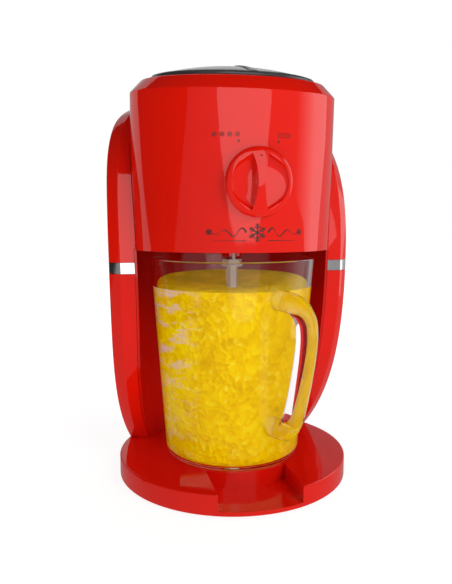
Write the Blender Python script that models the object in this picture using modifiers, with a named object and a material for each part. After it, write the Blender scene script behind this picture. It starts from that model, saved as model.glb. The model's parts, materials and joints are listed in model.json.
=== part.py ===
"""Countertop shaved-ice machine: a hopper head with a gear-driven blade disc over a clear
pitcher, held by a rear housing that stands on a round base.

Metres, +Z up. The front of the machine faces -Y and +X is on the right of someone standing
in front of it. The world origin is on the main axis, on the surface the feet stand on.
"""
import math

import bmesh
import bpy
from mathutils import Matrix, Vector

# ---------------------------------------------------------------- driving dimensions
GAP = 0.0003                # clearance between pieces that touch
WALL = 0.0025               # wall of the red mouldings

BASE_R = 0.112
BASE_LOW = 0.002            # underside of the base, above the feet
BASE_TOP = 0.021
SLOT_HALF = 0.038           # half the width of the slot in front of the pitcher
SLOT_FLOOR = 0.006
SLOT_ARC_R = 0.0655         # the slot stops at this arc, under the pitcher's edge

HOUSING_R = 0.1195          # outer radius of the rear housing at the shoulder
HOUSING_FOOT_R = 0.112
BAND_LOW = 0.1995
BAND_TOP = 0.2097
HOUSING_TOP = 0.368
RECESS_R = 0.0946           # concave wall round the pitcher, at the top
RECESS_FOOT_R = 0.0885
LINER_WALL = 0.0022
FACET_X = 0.0095            # width of the housing's corner facet
FACET_Y = 0.008

HEAD_R = 0.0965             # the head is a drum that leans forward a little
HEAD_Y_LOW = 0.0088         # its centre at the bottom and at the rim
HEAD_Y_TOP = 0.0016
HEAD_LOW = 0.2215
HEAD_RIM_Z = 0.3538         # rim height at the front edge
TOP_SLOPE = 0.125           # the top rises this much per metre towards the back
CEILING_LOW = 0.2222        # plate over the pitcher recess
CEILING_TOP = 0.2247

LID_R = 0.0772
LID_RISE = 0.0145           # height of the lid's dome above its seat
MOUTH_R = 0.0725
SEAT_RISE = 0.012           # lid seat above the rim

PITCHER_RIM_R = 0.0794
PITCHER_RIM_Z = 0.213
PITCHER_FOOT_R = 0.0655
PITCHER_FOOT_Z = BASE_TOP + GAP
HANDLE_AZIMUTH = math.radians(18.5)
HANDLE_R = 0.0092

KNOB_Z = 0.280
KNOB_R = 0.0289
KNOB_LIFT = 0.0010          # back of the knob above the head's surface
KNOB_DEPTH = 0.0101         # from its back to the middle of its domed face

SHAFT_R = 0.004
COUPLING_LOW = 0.2145
GEAR_PRESSURE = math.radians(25)
ROUND_FLANK = (0.0, 0.5, 1.0)   # places up a pinion's flank that its outline passes through
MAIN_MODULE = 0.0022
MAIN_TEETH = 32
SMALL_TEETH = 12
FAST_MODULE = 0.00165
LARGE_TEETH = 48
PINION_TEETH = 10
IDLER_Y = MAIN_MODULE * (MAIN_TEETH + SMALL_TEETH) / 2
MOTOR_Y = IDLER_Y + FAST_MODULE * (LARGE_TEETH + PINION_TEETH) / 2
FAST_Z = (0.2290, 0.2340)   # large idler wheel and motor pinion
MAIN_Z = (0.2352, 0.2440)   # main gear and small idler wheel
PLATE_Z = (0.2500, 0.2525)
MOTOR_R = 0.0190
MOTOR_TOP = 0.308

CHAMBER_Z = (0.274, 0.2885)
CHAMBER_R = 0.0585
DISC_Z = (0.2835, 0.2862)
DISC_R = 0.0545
HOPPER_LOW = 0.2890
HOPPER_LOW_R = 0.0530


# ---------------------------------------------------------------- scene and materials
def clear_scene():
    for item in list(bpy.data.objects):
        bpy.data.objects.remove(item, do_unlink=True)


def new_collection(name):
    found = bpy.data.collections.new(name)
    bpy.context.scene.collection.children.link(found)
    return found


def make_material(name, colour, roughness, metallic=0.0, transmission=0.0):
    made = bpy.data.materials.new(name)
    made.use_nodes = True
    shader = made.node_tree.nodes["Principled BSDF"]
    shader.inputs["Base Color"].default_value = (*colour, 1.0)
    shader.inputs["Roughness"].default_value = roughness
    shader.inputs["Metallic"].default_value = metallic
    shader.inputs["Transmission Weight"].default_value = transmission
    made.diffuse_color = (*colour, 1.0)
    return made


clear_scene()
PARTS = new_collection("shaved_ice_machine")
CUTTERS = new_collection("cutters")

RED = make_material("red_plastic", (0.70, 0.02, 0.01), 0.12)
DARK_RED = make_material("dark_red_plastic", (0.30, 0.01, 0.008), 0.18)
CHROME = make_material("chrome_plastic", (0.78, 0.78, 0.78), 0.06, 1.0)
SMOKE = make_material("smoked_plastic", (0.30, 0.30, 0.31), 0.05, 0.0, 0.8)
CHARCOAL = make_material("charcoal_plastic", (0.05, 0.05, 0.05), 0.3)
CLEAR = make_material("clear_plastic", (0.95, 0.95, 0.95), 0.02, 0.0, 1.0)
GREY = make_material("grey_plastic", (0.42, 0.42, 0.42), 0.25)
WHITE = make_material("white_plastic", (0.80, 0.80, 0.78), 0.4)
STEEL = make_material("steel", (0.60, 0.60, 0.60), 0.25, 1.0)
BRONZE = make_material("bronze", (0.50, 0.33, 0.14), 0.4, 1.0)
RUBBER = make_material("rubber", (0.03, 0.03, 0.03), 0.8)


# ---------------------------------------------------------------- modelling helpers
def place(name, mesh, material, cutter=False):
    item = bpy.data.objects.new(name, mesh)
    if cutter:
        CUTTERS.objects.link(item)
        item.hide_render = True
        item.display_type = "WIRE"
    else:
        PARTS.objects.link(item)
        mesh.materials.append(material)
    return item


def smooth(item, angle=35.0):
    item.data.shade_smooth()
    item.data.set_sharp_from_angle(angle=math.radians(angle))


def turned(name, profile, material, centre=(0.0, 0.0), steps=32, ring=False, cutter=False):
    """A turned shape: profile points (radius, z) run down the outer side."""
    mesh = bpy.data.meshes.new(name)
    edges = [(i, i + 1) for i in range(len(profile) - 1)]
    if ring:
        edges.append((len(profile) - 1, 0))
    mesh.from_pydata([(r, 0.0, z) for r, z in profile], edges, [])
    item = place(name, mesh, material, cutter)
    item.location = (centre[0], centre[1], 0.0)
    screw = item.modifiers.new("turn", "SCREW")
    screw.steps = steps
    screw.render_steps = steps
    screw.use_merge_vertices = True
    screw.merge_threshold = 0.00001
    return item


def drum(name, radius, low, high, material=None, centre=(0.0, 0.0), steps=32, cutter=False):
    """A plain upright cylinder."""
    profile = [(0.0, high), (radius, high), (radius, low), (0.0, low)]
    return turned(name, profile, material, centre, steps, cutter=cutter)


def tube(name, inner, outer, low, high, material, centre=(0.0, 0.0), steps=24):
    profile = [(inner, high), (outer, high), (outer, low), (inner, low)]
    return turned(name, profile, material, centre, steps, ring=True)


def box(name, low, high, material=None, cutter=False):
    """A box between two corners."""
    bpy.ops.mesh.primitive_cube_add(size=1.0)
    item = bpy.context.object
    item.name = name
    size = [b - a for a, b in zip(low, high)]
    middle = [(a + b) / 2 for a, b in zip(low, high)]
    item.data.transform(Matrix.Translation(middle) @ Matrix.Diagonal((*size, 1.0)))
    for owner in list(item.users_collection):
        owner.objects.unlink(item)
    mesh = item.data
    bpy.data.objects.remove(item)
    return place(name, mesh, material, cutter)


def plate(name, outlines, low, high, material=None, cutter=False):
    """A flat outline with holes, as a filled 2D curve given its thickness and made a mesh."""
    curve = bpy.data.curves.new(name, "CURVE")
    curve.dimensions = "2D"
    curve.fill_mode = "BOTH"
    curve.extrude = (high - low) / 2
    for outline in outlines:
        spline = curve.splines.new("POLY")
        spline.points.add(len(outline) - 1)
        for point, (x, y) in zip(spline.points, outline):
            point.co = (x, y, 0.0, 1.0)
        spline.use_cyclic_u = True
    return mesh_of_curve(name, curve, material, Matrix.Translation((0, 0, (low + high) / 2)), cutter)


def mesh_of_curve(name, curve, material, matrix, cutter=False):
    holder = bpy.data.objects.new(name + "_curve", curve)
    PARTS.objects.link(holder)
    graph = bpy.context.evaluated_depsgraph_get()
    mesh = bpy.data.meshes.new_from_object(holder.evaluated_get(graph))
    bpy.data.objects.remove(holder)
    built = bmesh.new()
    built.from_mesh(mesh)
    bmesh.ops.remove_doubles(built, verts=built.verts, dist=0.000005)
    bmesh.ops.recalc_face_normals(built, faces=built.faces)
    built.to_mesh(mesh)
    built.free()
    mesh.transform(matrix)
    mesh.name = name
    mesh.materials.clear()
    return place(name, mesh, material, cutter)


def bar(name, points, radius, material=None, cutter=False, sides=3):
    """A round rod through the given points, with filled ends."""
    curve = bpy.data.curves.new(name, "CURVE")
    curve.dimensions = "3D"
    curve.bevel_depth = radius
    curve.bevel_resolution = sides
    curve.use_fill_caps = True
    spline = curve.splines.new("POLY")
    spline.points.add(len(points) - 1)
    for point, place_at in zip(spline.points, points):
        point.co = (*place_at, 1.0)
    return mesh_of_curve(name, curve, material, Matrix.Identity(4), cutter)


def skin(name, loops, material=None, close_low=True, close_high=True, cutter=False):
    """A skin through loops of points, bottom to top, each running counter-clockwise."""
    count = len(loops[0])
    points = [point for loop in loops for point in loop]
    faces = []
    for level in range(len(loops) - 1):
        start = level * count
        for i in range(count):
            j = (i + 1) % count
            faces.append((start + i, start + j, start + count + j, start + count + i))
    if close_low:
        faces.append(tuple(reversed(range(count))))
    if close_high:
        faces.append(tuple(range(len(points) - count, len(points))))
    mesh = bpy.data.meshes.new(name)
    mesh.from_pydata(points, [], faces)
    return place(name, mesh, material, cutter)


def shell(item, thickness):
    """Give an open surface its wall, inwards."""
    solidify = item.modifiers.new("wall", "SOLIDIFY")
    solidify.thickness = thickness
    solidify.offset = -1.0
    solidify.use_even_offset = True
    return item


def combine(item, other, operation):
    step = item.modifiers.new(operation.lower(), "BOOLEAN")
    step.operation = operation
    step.solver = "EXACT"
    step.object = other
    return item


def cut(item, *others):
    for other in others:
        combine(item, other, "DIFFERENCE")
    return item


def join(item, *others):
    for other in others:
        combine(item, other, "UNION")
    return item


def keep(item, other):
    return combine(item, other, "INTERSECT")


def arc(centre, radius, start, end, count):
    """Points on an arc, angles in radians, both ends included."""
    step = (end - start) / (count - 1)
    turns = [start + step * i for i in range(count)]
    return [(centre[0] + radius * math.cos(t), centre[1] + radius * math.sin(t)) for t in turns]


def ellipse(a, b, count, centre_y=0.0):
    turns = [2 * math.pi * i / count for i in range(count)]
    return [(a * math.cos(t), centre_y + b * math.sin(t)) for t in turns]


def head_centre_y(z):
    """Y of the leaning head's axis at a height."""
    share = (z - HEAD_LOW) / (HEAD_RIM_Z - HEAD_LOW)
    return HEAD_Y_LOW + (HEAD_Y_TOP - HEAD_Y_LOW) * share


def along_knob(item):
    """Turn a piece built along +Z onto the knob's axis, with z = 0 on the head's surface."""
    lean = math.atan2(HEAD_Y_LOW - HEAD_Y_TOP, HEAD_RIM_Z - HEAD_LOW)
    surface = (0.0, head_centre_y(KNOB_Z) - HEAD_R, KNOB_Z)
    item.matrix_world = (Matrix.Translation(surface)
                         @ Matrix.Rotation(math.pi / 2 + lean, 4, "X"))
    return item


# ---------------------------------------------------------------- shared outlines
def housing_radius(z):
    """Plan radius of the housing: it swells gently upwards and rounds over at the top."""
    swell_from = BASE_TOP
    swell_to = 0.300
    round_from = 0.340
    t = min(1.0, max(0.0, (z - swell_from) / (swell_to - swell_from)))
    radius = HOUSING_FOOT_R + (HOUSING_R - HOUSING_FOOT_R) * (1 - (1 - t) ** 2.5)
    if z > round_from:
        u = (z - round_from) / (HOUSING_TOP - round_from)
        radius -= 0.014 * (1 - math.sqrt(max(0.0, 1 - u ** 2.4)))
    return radius


def housing_front(z):
    """Y of the housing's outer front edge: it sweeps back below and above the band."""
    middle = 0.207
    if z < middle:
        return -0.0028 + 0.056 * ((middle - z) / (middle - BASE_TOP)) ** 2.2
    return -0.0028 + 0.0237 * ((z - middle) / 0.1) ** 2.52


def housing_loop(z, arc_points=29):
    """Plan of the housing at a height: round back, two corner facets, straight front."""
    radius = housing_radius(z)
    edge = housing_front(z)
    start = math.asin(edge / radius)
    back = arc((0.0, 0.0), radius, start, math.pi - start, arc_points)
    grow = 1.0 + max(0.0, (z - 0.270) / 0.075)
    corner_x = radius * math.cos(start) - FACET_X
    corner_y = edge - FACET_Y * grow
    outline = [(corner_x, corner_y), *back, (-corner_x, corner_y)]
    return [(x, y, z) for x, y in outline]


def housing_wall(name, levels, material, close_high=False):
    loops = [housing_loop(z) for z in levels]
    item = skin(name, loops, material, close_low=False, close_high=close_high)
    shell(item, WALL)
    return item


def head_outline(radius, centre_y):
    return ellipse(radius, radius, 72, centre_y)


def sloped(outline, z):
    """Put an outline on the sloping plane that has this height at the head's front edge."""
    return [(x, y, z + TOP_SLOPE * (y + HEAD_R - HEAD_Y_TOP)) for x, y in outline]


def level(outline, z):
    return [(x, y, z) for x, y in outline]


def head_cutter():
    """The head's outer form plus clearance, tall enough to clear the housing's top."""
    ease = 0.0004
    low = head_outline(HEAD_R + ease, head_centre_y(HEAD_LOW - 0.001))
    high = head_outline(HEAD_R + ease, head_centre_y(HEAD_RIM_Z + 0.01))
    return skin("cut_head", [level(low, HEAD_LOW - 0.001), sloped(high, HEAD_RIM_Z + 0.01)],
                cutter=True)


def recess_cutter(name, ease, low, high):
    """The recess round the pitcher between two heights; it narrows towards the base."""
    taper = (RECESS_R - RECESS_FOOT_R) / (CEILING_LOW - BASE_TOP)
    low_r = RECESS_R + ease - taper * (CEILING_LOW - low)
    high_r = RECESS_R + ease - taper * (CEILING_LOW - high)
    profile = [(0.0, high), (high_r, high), (low_r, low), (0.0, low)]
    return turned(name, profile, None, steps=64, cutter=True)


# ---------------------------------------------------------------- base
def slot_outline(half, radius):
    reach = BASE_R + 0.012
    swing = math.asin(half / radius)
    back = arc((0.0, 0.0), radius, -math.pi / 2 + swing, -math.pi / 2 - swing, 15)
    return [(half, -reach), *back, (-half, -reach)]


def build_base():
    edge = 0.0015
    profile = [(0.0, BASE_TOP), (BASE_R - edge, BASE_TOP), (BASE_R, BASE_TOP - edge),
               (BASE_R, BASE_LOW), (0.0, BASE_LOW)]
    base = turned("base_shell", profile, RED, steps=64)
    slot = plate("cut_slot", [slot_outline(SLOT_HALF, SLOT_ARC_R)], SLOT_FLOOR, 0.04, cutter=True)
    hollow = drum("cut_base_hollow", BASE_R - WALL, -0.01, BASE_TOP - WALL, steps=64, cutter=True)
    kept = plate("cut_slot_walls", [slot_outline(SLOT_HALF + WALL, SLOT_ARC_R - WALL)],
                 SLOT_FLOOR - 0.0018, 0.05, cutter=True)
    cut(hollow, kept)
    cut(base, slot, hollow)
    cover_hole = []
    for i, (x, y) in enumerate(screw_places()):
        boss = drum(f"boss_{i}", 0.004, 0.0043, BASE_TOP - 0.001, centre=(x, y), steps=12,
                    cutter=True)
        bore = drum(f"boss_bore_{i}", 0.0017, 0.003, 0.014, centre=(x, y), steps=12, cutter=True)
        join(base, boss)
        cut(base, bore)
        cover_hole.append(circle((x, y), 0.0019, 12))
        head = [(0.0, 0.0008), (0.0035, 0.0008), (0.0035, 0.0019), (0.0014, 0.0019),
                (0.0014, 0.0125), (0.0, 0.0125)]
        turned(f"base_screw_{i + 1}", head[::-1], STEEL, (x, y), 12)
    for i, (x, y) in enumerate(foot_places()):
        cover_hole.append(circle((x, y), 0.0031, 12))
        foot = [(0.0, 0.0058), (0.0028, 0.0058), (0.0028, BASE_LOW - 0.0001),
                (0.0090, BASE_LOW - 0.0001), (0.0080, 0.0), (0.0, 0.0)]
        turned(f"foot_{i + 1}", foot, RUBBER, (x, y), 16)
    outline = circle((0.0, 0.0), BASE_R - WALL - GAP, 64)
    plate("base_cover", [outline, *cover_hole], BASE_LOW + 0.0002, 0.0040, CHARCOAL)


def circle(centre, radius, count):
    return [(centre[0] + x, centre[1] + y) for x, y in ellipse(radius, radius, count)]


def foot_places():
    reach = 0.068
    return [(sx * reach, sy * reach) for sy in (-1, 1) for sx in (-1, 1)]


def screw_places():
    return [(sx * 0.082, sy * 0.030) for sy in (-1, 1) for sx in (-1, 1)]


# ---------------------------------------------------------------- rear housing
def build_housing():
    recess = recess_cutter("cut_recess", LINER_WALL + GAP, 0.0, CEILING_LOW + 0.0001)
    foot = BASE_TOP + GAP
    span = BAND_LOW - GAP - foot
    lower_levels = [foot + span * i / 6 for i in range(7)]
    lower = housing_wall("lower_housing", lower_levels, RED)
    cut(lower, recess)
    band = housing_wall("trim_band", [BAND_LOW, BAND_TOP], CHROME)
    cut(band, recess)
    first = BAND_TOP + GAP
    steps = 6
    shoulder = 0.340
    rise = [first + (shoulder - first) * i / steps for i in range(steps + 1)]
    rounding = [math.radians(90) * i / 4 for i in range(1, 5)]
    crown = [shoulder + (HOUSING_TOP - shoulder) * math.sin(t) for t in rounding]
    upper = housing_wall("upper_housing", rise + crown, RED, close_high=True)
    cut(upper, recess, head_cutter())
    build_rear_cover(upper)
    build_liner()
    build_gland(lower)


def build_rear_cover(upper):
    """A louvred panel let into the back of the upper housing, behind the motor."""
    half = 0.034
    low = 0.236
    high = 0.316
    window = box("cut_window", (-half, 0.09, low), (half, 0.14, high), cutter=True)
    cut(upper, window)
    levels = [low - 0.01 + (high - low + 0.02) * i / 4 for i in range(5)]
    cover = housing_wall("rear_cover", levels, RED)
    inset = 0.0004
    frame = box("keep_cover", (-half + inset, 0.09, low + inset),
                (half - inset, 0.14, high - inset), cutter=True)
    louvres = 6
    for i in range(louvres):
        z = low + 0.0163 + i * 0.0095
        slit = box(f"cut_louvre_{i}", (-0.0225, 0.085, z), (0.0225, 0.15, z + 0.0035), cutter=True)
        cut(cover, slit)
    keep(cover, frame)


def build_liner():
    low = BASE_TOP + GAP
    high = CEILING_LOW - GAP
    profile = [(RECESS_R, high), (RECESS_R + LINER_WALL, high),
               (RECESS_FOOT_R + LINER_WALL, low), (RECESS_FOOT_R, low)]
    liner = turned("recess_liner", profile, DARK_RED, steps=64, ring=True)
    count = 10
    heights = [BASE_TOP - 0.001 + (CEILING_LOW + 0.002 - BASE_TOP) * i / count
               for i in range(count + 1)]
    loops = [housing_loop(z) for z in heights]
    keep(liner, skin("keep_behind_front", loops, cutter=True))


def build_gland(lower):
    """The bush where the mains lead leaves the back of the lower housing."""
    z = 0.052
    back = housing_radius(z)
    hole = drum("cut_gland", 0.0073, -0.02, 0.02, steps=20, cutter=True)
    hole.matrix_world = Matrix.Translation((0, back, z)) @ Matrix.Rotation(math.pi / 2, 4, "X")
    cut(lower, hole)
    inner = 0.0033
    profile = [(inner, 0.0105), (0.0070, 0.0105), (0.0070, 0.0008), (0.0095, 0.0008),
               (0.0095, -0.0014), (inner, -0.0014)]
    gland = turned("cord_gland", profile, RUBBER, steps=20, ring=True)
    gland.matrix_world = (Matrix.Translation((0, back + 0.0019, z))
                          @ Matrix.Rotation(math.pi / 2, 4, "X"))


# ---------------------------------------------------------------- head
def build_head():
    low = head_outline(HEAD_R, HEAD_Y_LOW)
    rim = head_outline(HEAD_R, HEAD_Y_TOP)
    chamfer_in = 0.0105
    chamfer_up = 0.0112
    chamfer = head_outline(HEAD_R - chamfer_in, HEAD_Y_TOP)
    seat = head_outline(LID_R + 0.0008, 0.0)
    mouth = head_outline(MOUTH_R, 0.0)
    loops = [level(low, HEAD_LOW), sloped(rim, HEAD_RIM_Z),
             sloped(chamfer, HEAD_RIM_Z + chamfer_up), sloped(seat, HEAD_RIM_Z + SEAT_RISE),
             sloped(mouth, HEAD_RIM_Z + SEAT_RISE)]
    head = skin("head_shell", loops, RED, close_low=False, close_high=False)
    shell(head, WALL)
    motor_bay = box("cut_motor_bay", (-0.056, 0.0, 0.10), (0.056, 0.12, 0.316), cutter=True)
    skirt = box("cut_skirt", (-0.12, -0.0125, 0.10), (0.12, 0.12, CEILING_TOP + 0.0005), cutter=True)
    pad = drum("join_knob_pad", KNOB_R - 0.0014, -0.0052, KNOB_LIFT - 0.0004, steps=40, cutter=True)
    hole = drum("cut_knob_hole", 0.0045, -0.010, 0.010, steps=16, cutter=True)
    join(head, along_knob(pad))
    cut(head, motor_bay, skirt, along_knob(hole))
    build_ceiling()
    build_chute()
    build_chamber()
    build_hopper()
    build_lid()


def build_ceiling():
    """The plate over the pitcher: it carries the lower bush and lets the chute through."""
    radius = HEAD_R - WALL - 0.0005
    step = -0.010
    wide_r = 0.104
    wide_y = -0.004
    low = math.asin((step - HEAD_Y_LOW) / radius)
    front = arc((0.0, HEAD_Y_LOW), radius, -math.pi - low, low, 41)
    start = math.asin(wide_y / wide_r)
    rear = arc((0.0, 0.0), wide_r, start, math.pi - start, 33)
    side = front[-1][0]
    outline = [*front, (side, wide_y), *rear, (-side, wide_y)]
    bore = circle((0.0, 0.0), 0.0083, 24)
    ease = 0.0003
    chute = [(x * (0.0247 + ease), y) for x, y in
             ((-1, -0.0572 - ease), (1, -0.0572 - ease), (1, -0.0387 + ease), (-1, -0.0387 + ease))]
    plate("head_floor", [outline, bore, chute], CEILING_LOW, CEILING_TOP, DARK_RED)


def build_chute():
    outer_low = (-0.0247, -0.0572)
    outer_high = (0.0247, -0.0387)
    chute = box("ice_chute", (*outer_low, 0.2216), (*outer_high, CHAMBER_Z[0] - GAP), WHITE)
    wall = 0.0018
    cut(chute, box("cut_chute", (outer_low[0] + wall, outer_low[1] + wall, 0.2),
                   (outer_high[0] - wall, outer_high[1] - wall, 0.3), cutter=True))


def build_chamber():
    """The cup under the blade disc, with its outlet over the chute."""
    floor = 0.0025
    inner = 0.0560
    bore = 0.0083
    low, high = CHAMBER_Z
    profile = [(inner, high), (CHAMBER_R, high), (CHAMBER_R, low), (bore, low),
               (bore, low + floor), (inner, low + floor)]
    chamber = turned("shaving_chamber", profile, WHITE, steps=48, ring=True)
    outlet = box("cut_outlet", (-0.022, -0.0548, 0.26), (0.022, -0.0412, low + floor + 0.001),
                 cutter=True)
    cut(chamber, outlet)


def build_hopper():
    """A funnel from the lid's mouth down to the blade disc."""
    count = 40
    top = 0.0034
    low = level(ellipse(HOPPER_LOW_R, HOPPER_LOW_R, count), HOPPER_LOW)
    lower_wall = level(ellipse(HOPPER_LOW_R + 0.0012, HOPPER_LOW_R + 0.0012, count), 0.306)
    high = sloped(ellipse(MOUTH_R - 0.0008, MOUTH_R - 0.0008, count), HEAD_RIM_Z + SEAT_RISE - top)
    hopper = skin("hopper", [low, lower_wall, high], CLEAR, close_low=False, close_high=False)
    shell(hopper, 0.002)


def tilted(outline, rise):
    """An outline on the lid's sloping plane, raised by this much above the seat."""
    return sloped(outline, HEAD_RIM_Z + SEAT_RISE + rise)


def build_lid():
    """A dark frame with a rim, a hub and a rib; the smoked window is held under it."""
    count = 48
    rings = [(LID_R, GAP), (LID_R, 0.0022), (LID_R - 0.005, 0.0058), (LID_R - 0.013, 0.0078),
             (LID_R - 0.013, 0.0060), (MOUTH_R - 0.0067, 0.0043)]
    loops = [tilted(ellipse(radius, radius, count), rise) for radius, rise in rings]
    frame = skin("lid_frame", loops, CHARCOAL, close_low=False, close_high=False)
    close_ring(frame, count, len(rings))
    build_ribs(frame)
    build_window(count)


def close_ring(item, count, rings):
    """Join the last loop of a skin back to its first, so that it becomes a solid ring."""
    built = bmesh.new()
    built.from_mesh(item.data)
    built.verts.ensure_lookup_table()
    last = (rings - 1) * count
    for i in range(count):
        j = (i + 1) % count
        corners = [built.verts[k] for k in (last + i, last + j, j, i)]
        built.faces.new(corners)
    bmesh.ops.recalc_face_normals(built, faces=built.faces)
    built.to_mesh(item.data)
    built.free()


def crown_rise(x, y):
    """Height of the lid's crown above its seat."""
    edge = 0.0028
    spread = min(1.0, (x ** 2 + y ** 2) / LID_R ** 2)
    return edge + (LID_RISE - edge) * (1 - spread)


def build_ribs(frame):
    """A rib across the lid from front to back, with a low finger hub at its middle."""
    half = 0.0042
    inset = 0.0115
    ends = LID_R - inset
    steps = 9
    low = []
    high = []
    for i in range(steps):
        y = -ends + 2 * ends * i / (steps - 1)
        rise = crown_rise(0.0, y)
        z = HEAD_RIM_Z + SEAT_RISE + TOP_SLOPE * (y + HEAD_R - HEAD_Y_TOP)
        low.append((y, z + rise - 0.0012))
        high.append((y, z + rise + 0.0010))
    side = low + high[::-1]
    left = [(-half, y, z) for y, z in side]
    right = [(half, y, z) for y, z in side]
    rib = skin("join_rib", [left, right], cutter=True)
    join(frame, rib)
    hub_r = 0.0115
    top = crown_rise(0.0, 0.0)
    loops = [tilted(ellipse(hub_r, hub_r, 24), top + rise) for rise in (-0.0012, 0.0014)]
    join(frame, skin("join_hub", loops, cutter=True))


def build_window(count):
    """The smoked window: a shallow dome with a skirt that drops into the mouth."""
    radius = LID_R - 0.0145
    wall = 0.0016
    foot = -0.0035
    tip = 0.003
    outer = [(radius, foot)]
    outer += [(radius * s, crown_rise(radius * s, 0.0) - 0.0017) for s in (1.0, 0.86, 0.62, 0.34, 0.12)]
    inner = [(max(x - wall, tip), z - wall) for x, z in outer[:0:-1]]
    rings = [*outer, *inner, (radius - wall, foot)]
    loops = [tilted(ellipse(x, x, count // 2), rise) for x, rise in rings]
    window = skin("lid_window", loops, SMOKE, close_low=False, close_high=False)
    close_ring(window, count // 2, len(rings))


# ---------------------------------------------------------------- drive train
def gear_outline(module, teeth, turn=0.0, flank_shares=(0.0, 1.0), backlash=0.00016):
    """A stub-tooth involute gear outline with a tooth centred at the given turn."""
    pitch_r = module * teeth / 2
    base_r = pitch_r * math.cos(GEAR_PRESSURE)
    tip_r = pitch_r + 0.8 * module
    root_r = pitch_r - 1.0 * module
    pitch_involute = math.tan(GEAR_PRESSURE) - GEAR_PRESSURE
    half_at_pitch = math.pi / (2 * teeth) - backlash / (2 * pitch_r)
    flank = []
    for share in flank_shares:
        r = max(base_r, root_r + 0.0002) * (1 - share) + tip_r * share
        angle = math.acos(min(1.0, base_r / r))
        half = half_at_pitch + pitch_involute - (math.tan(angle) - angle)
        flank.append((r, half))
    points = []
    for tooth in range(teeth):
        middle = turn + 2 * math.pi * tooth / teeth
        root_half = flank[0][1]
        rising = [(root_r, -root_half)] + [(r, -half) for r, half in flank]
        falling = [(r, half) for r, half in flank[::-1]] + [(root_r, root_half)]
        for r, offset in rising + falling:
            points.append((r * math.cos(middle + offset), r * math.sin(middle + offset)))
    return points


def moved(outline, x, y):
    return [(px + x, py + y) for px, py in outline]


def build_gears():
    main = gear_outline(MAIN_MODULE, MAIN_TEETH)
    bore = circle((0.0, 0.0), SHAFT_R + GAP, 16)
    plate("main_gear", [main, bore], *MAIN_Z, WHITE)
    half_pitch = math.pi / SMALL_TEETH
    facing_main = -math.pi / 2 + half_pitch
    small = moved(gear_outline(MAIN_MODULE, SMALL_TEETH, facing_main, ROUND_FLANK), 0.0, IDLER_Y)
    pin_bore = circle((0.0, IDLER_Y), 0.0023, 12)
    low, high = FAST_Z
    large = moved(gear_outline(FAST_MODULE, LARGE_TEETH, math.pi / 2), 0.0, IDLER_Y)
    idler = plate("idler_gear", [large, pin_bore], low, high, WHITE)
    upper = plate("join_small_wheel", [small, pin_bore], high - 0.001, MAIN_Z[1], cutter=True)
    join(idler, upper)
    set_origin(idler, (0.0, IDLER_Y, 0.0))
    drum("idler_pin", 0.002, CEILING_TOP + GAP, PLATE_Z[0] - GAP, STEEL, (0.0, IDLER_Y), 12)
    pinion_turn = -math.pi / 2 + math.pi / PINION_TEETH
    pinion = moved(gear_outline(FAST_MODULE, PINION_TEETH, pinion_turn, ROUND_FLANK), 0.0, MOTOR_Y)
    bore = circle((0.0, MOTOR_Y), 0.0018, 12)
    item = plate("motor_pinion", [pinion, bore], FAST_Z[0] - 0.0003, FAST_Z[1] + 0.0003, BRONZE)
    set_origin(item, (0.0, MOTOR_Y, 0.0))


def set_origin(item, point):
    """Move a mesh object's origin without moving the piece."""
    item.data.transform(Matrix.Translation([-v for v in point]))
    item.location = point


def build_gearbox_plate():
    """The plate over the gears, on four posts; it carries the motor and the upper bush."""
    low, high = PLATE_Z
    item = box("gearbox_plate", (-0.050, -0.013, low), (0.050, 0.100, high), STEEL)
    join(item, drum("join_motor_seat", MOTOR_R, low, high, centre=(0.0, MOTOR_Y), cutter=True))
    corners = [(sx * 0.0455, y) for y in (-0.0085, 0.0895) for sx in (-1, 1)]
    for i, (x, y) in enumerate(corners):
        post = drum(f"join_post_{i}", 0.0035, CEILING_TOP + GAP, high - 0.001, centre=(x, y),
                    steps=12, cutter=True)
        join(item, post)
    cut(item, drum("cut_bush", 0.0083, 0.2, 0.3, steps=24, cutter=True))
    cut(item, drum("cut_boss", 0.0063, 0.2, 0.3, centre=(0.0, MOTOR_Y), steps=20, cutter=True))
    for i, side in enumerate((-1, 1)):
        x = side * 0.0125
        cut(item, drum(f"cut_motor_screw_{i}", 0.0016, 0.2, 0.3, centre=(x, MOTOR_Y), steps=12,
                       cutter=True))


def build_shaft():
    drum("drive_shaft", SHAFT_R, 0.2193, 0.2905, STEEL, steps=16)
    tube("lower_bush", SHAFT_R + GAP, 0.0080, CEILING_LOW - 0.0002, 0.2275, BRONZE)
    tube("upper_bush", SHAFT_R + GAP, 0.0080, PLATE_Z[0] - 0.003, PLATE_Z[1] + 0.003, BRONZE)
    tube("shaft_seal", SHAFT_R + GAP, 0.0080, CHAMBER_Z[0] - 0.0012, CHAMBER_Z[0] + 0.0028, RUBBER)
    build_coupling()
    build_disc()


def hexagon(radius, turn=0.0):
    turns = [turn + math.radians(60) * i for i in range(6)]
    return [(radius * math.cos(t), radius * math.sin(t)) for t in turns]


def build_coupling():
    """The socket under the head: a slot across it takes the paddle's tang."""
    top = CEILING_LOW - 0.0006
    item = plate("output_coupling", [hexagon(0.0102)], COUPLING_LOW, top, DARK_RED)
    slot = box("cut_coupling_slot", (-0.0020, -0.02, 0.20), (0.0020, 0.02, COUPLING_LOW + 0.0042),
               cutter=True)
    bore = drum("cut_coupling_bore", SHAFT_R + GAP, 0.2190, 0.23, steps=16, cutter=True)
    cut(item, slot, bore)


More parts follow.
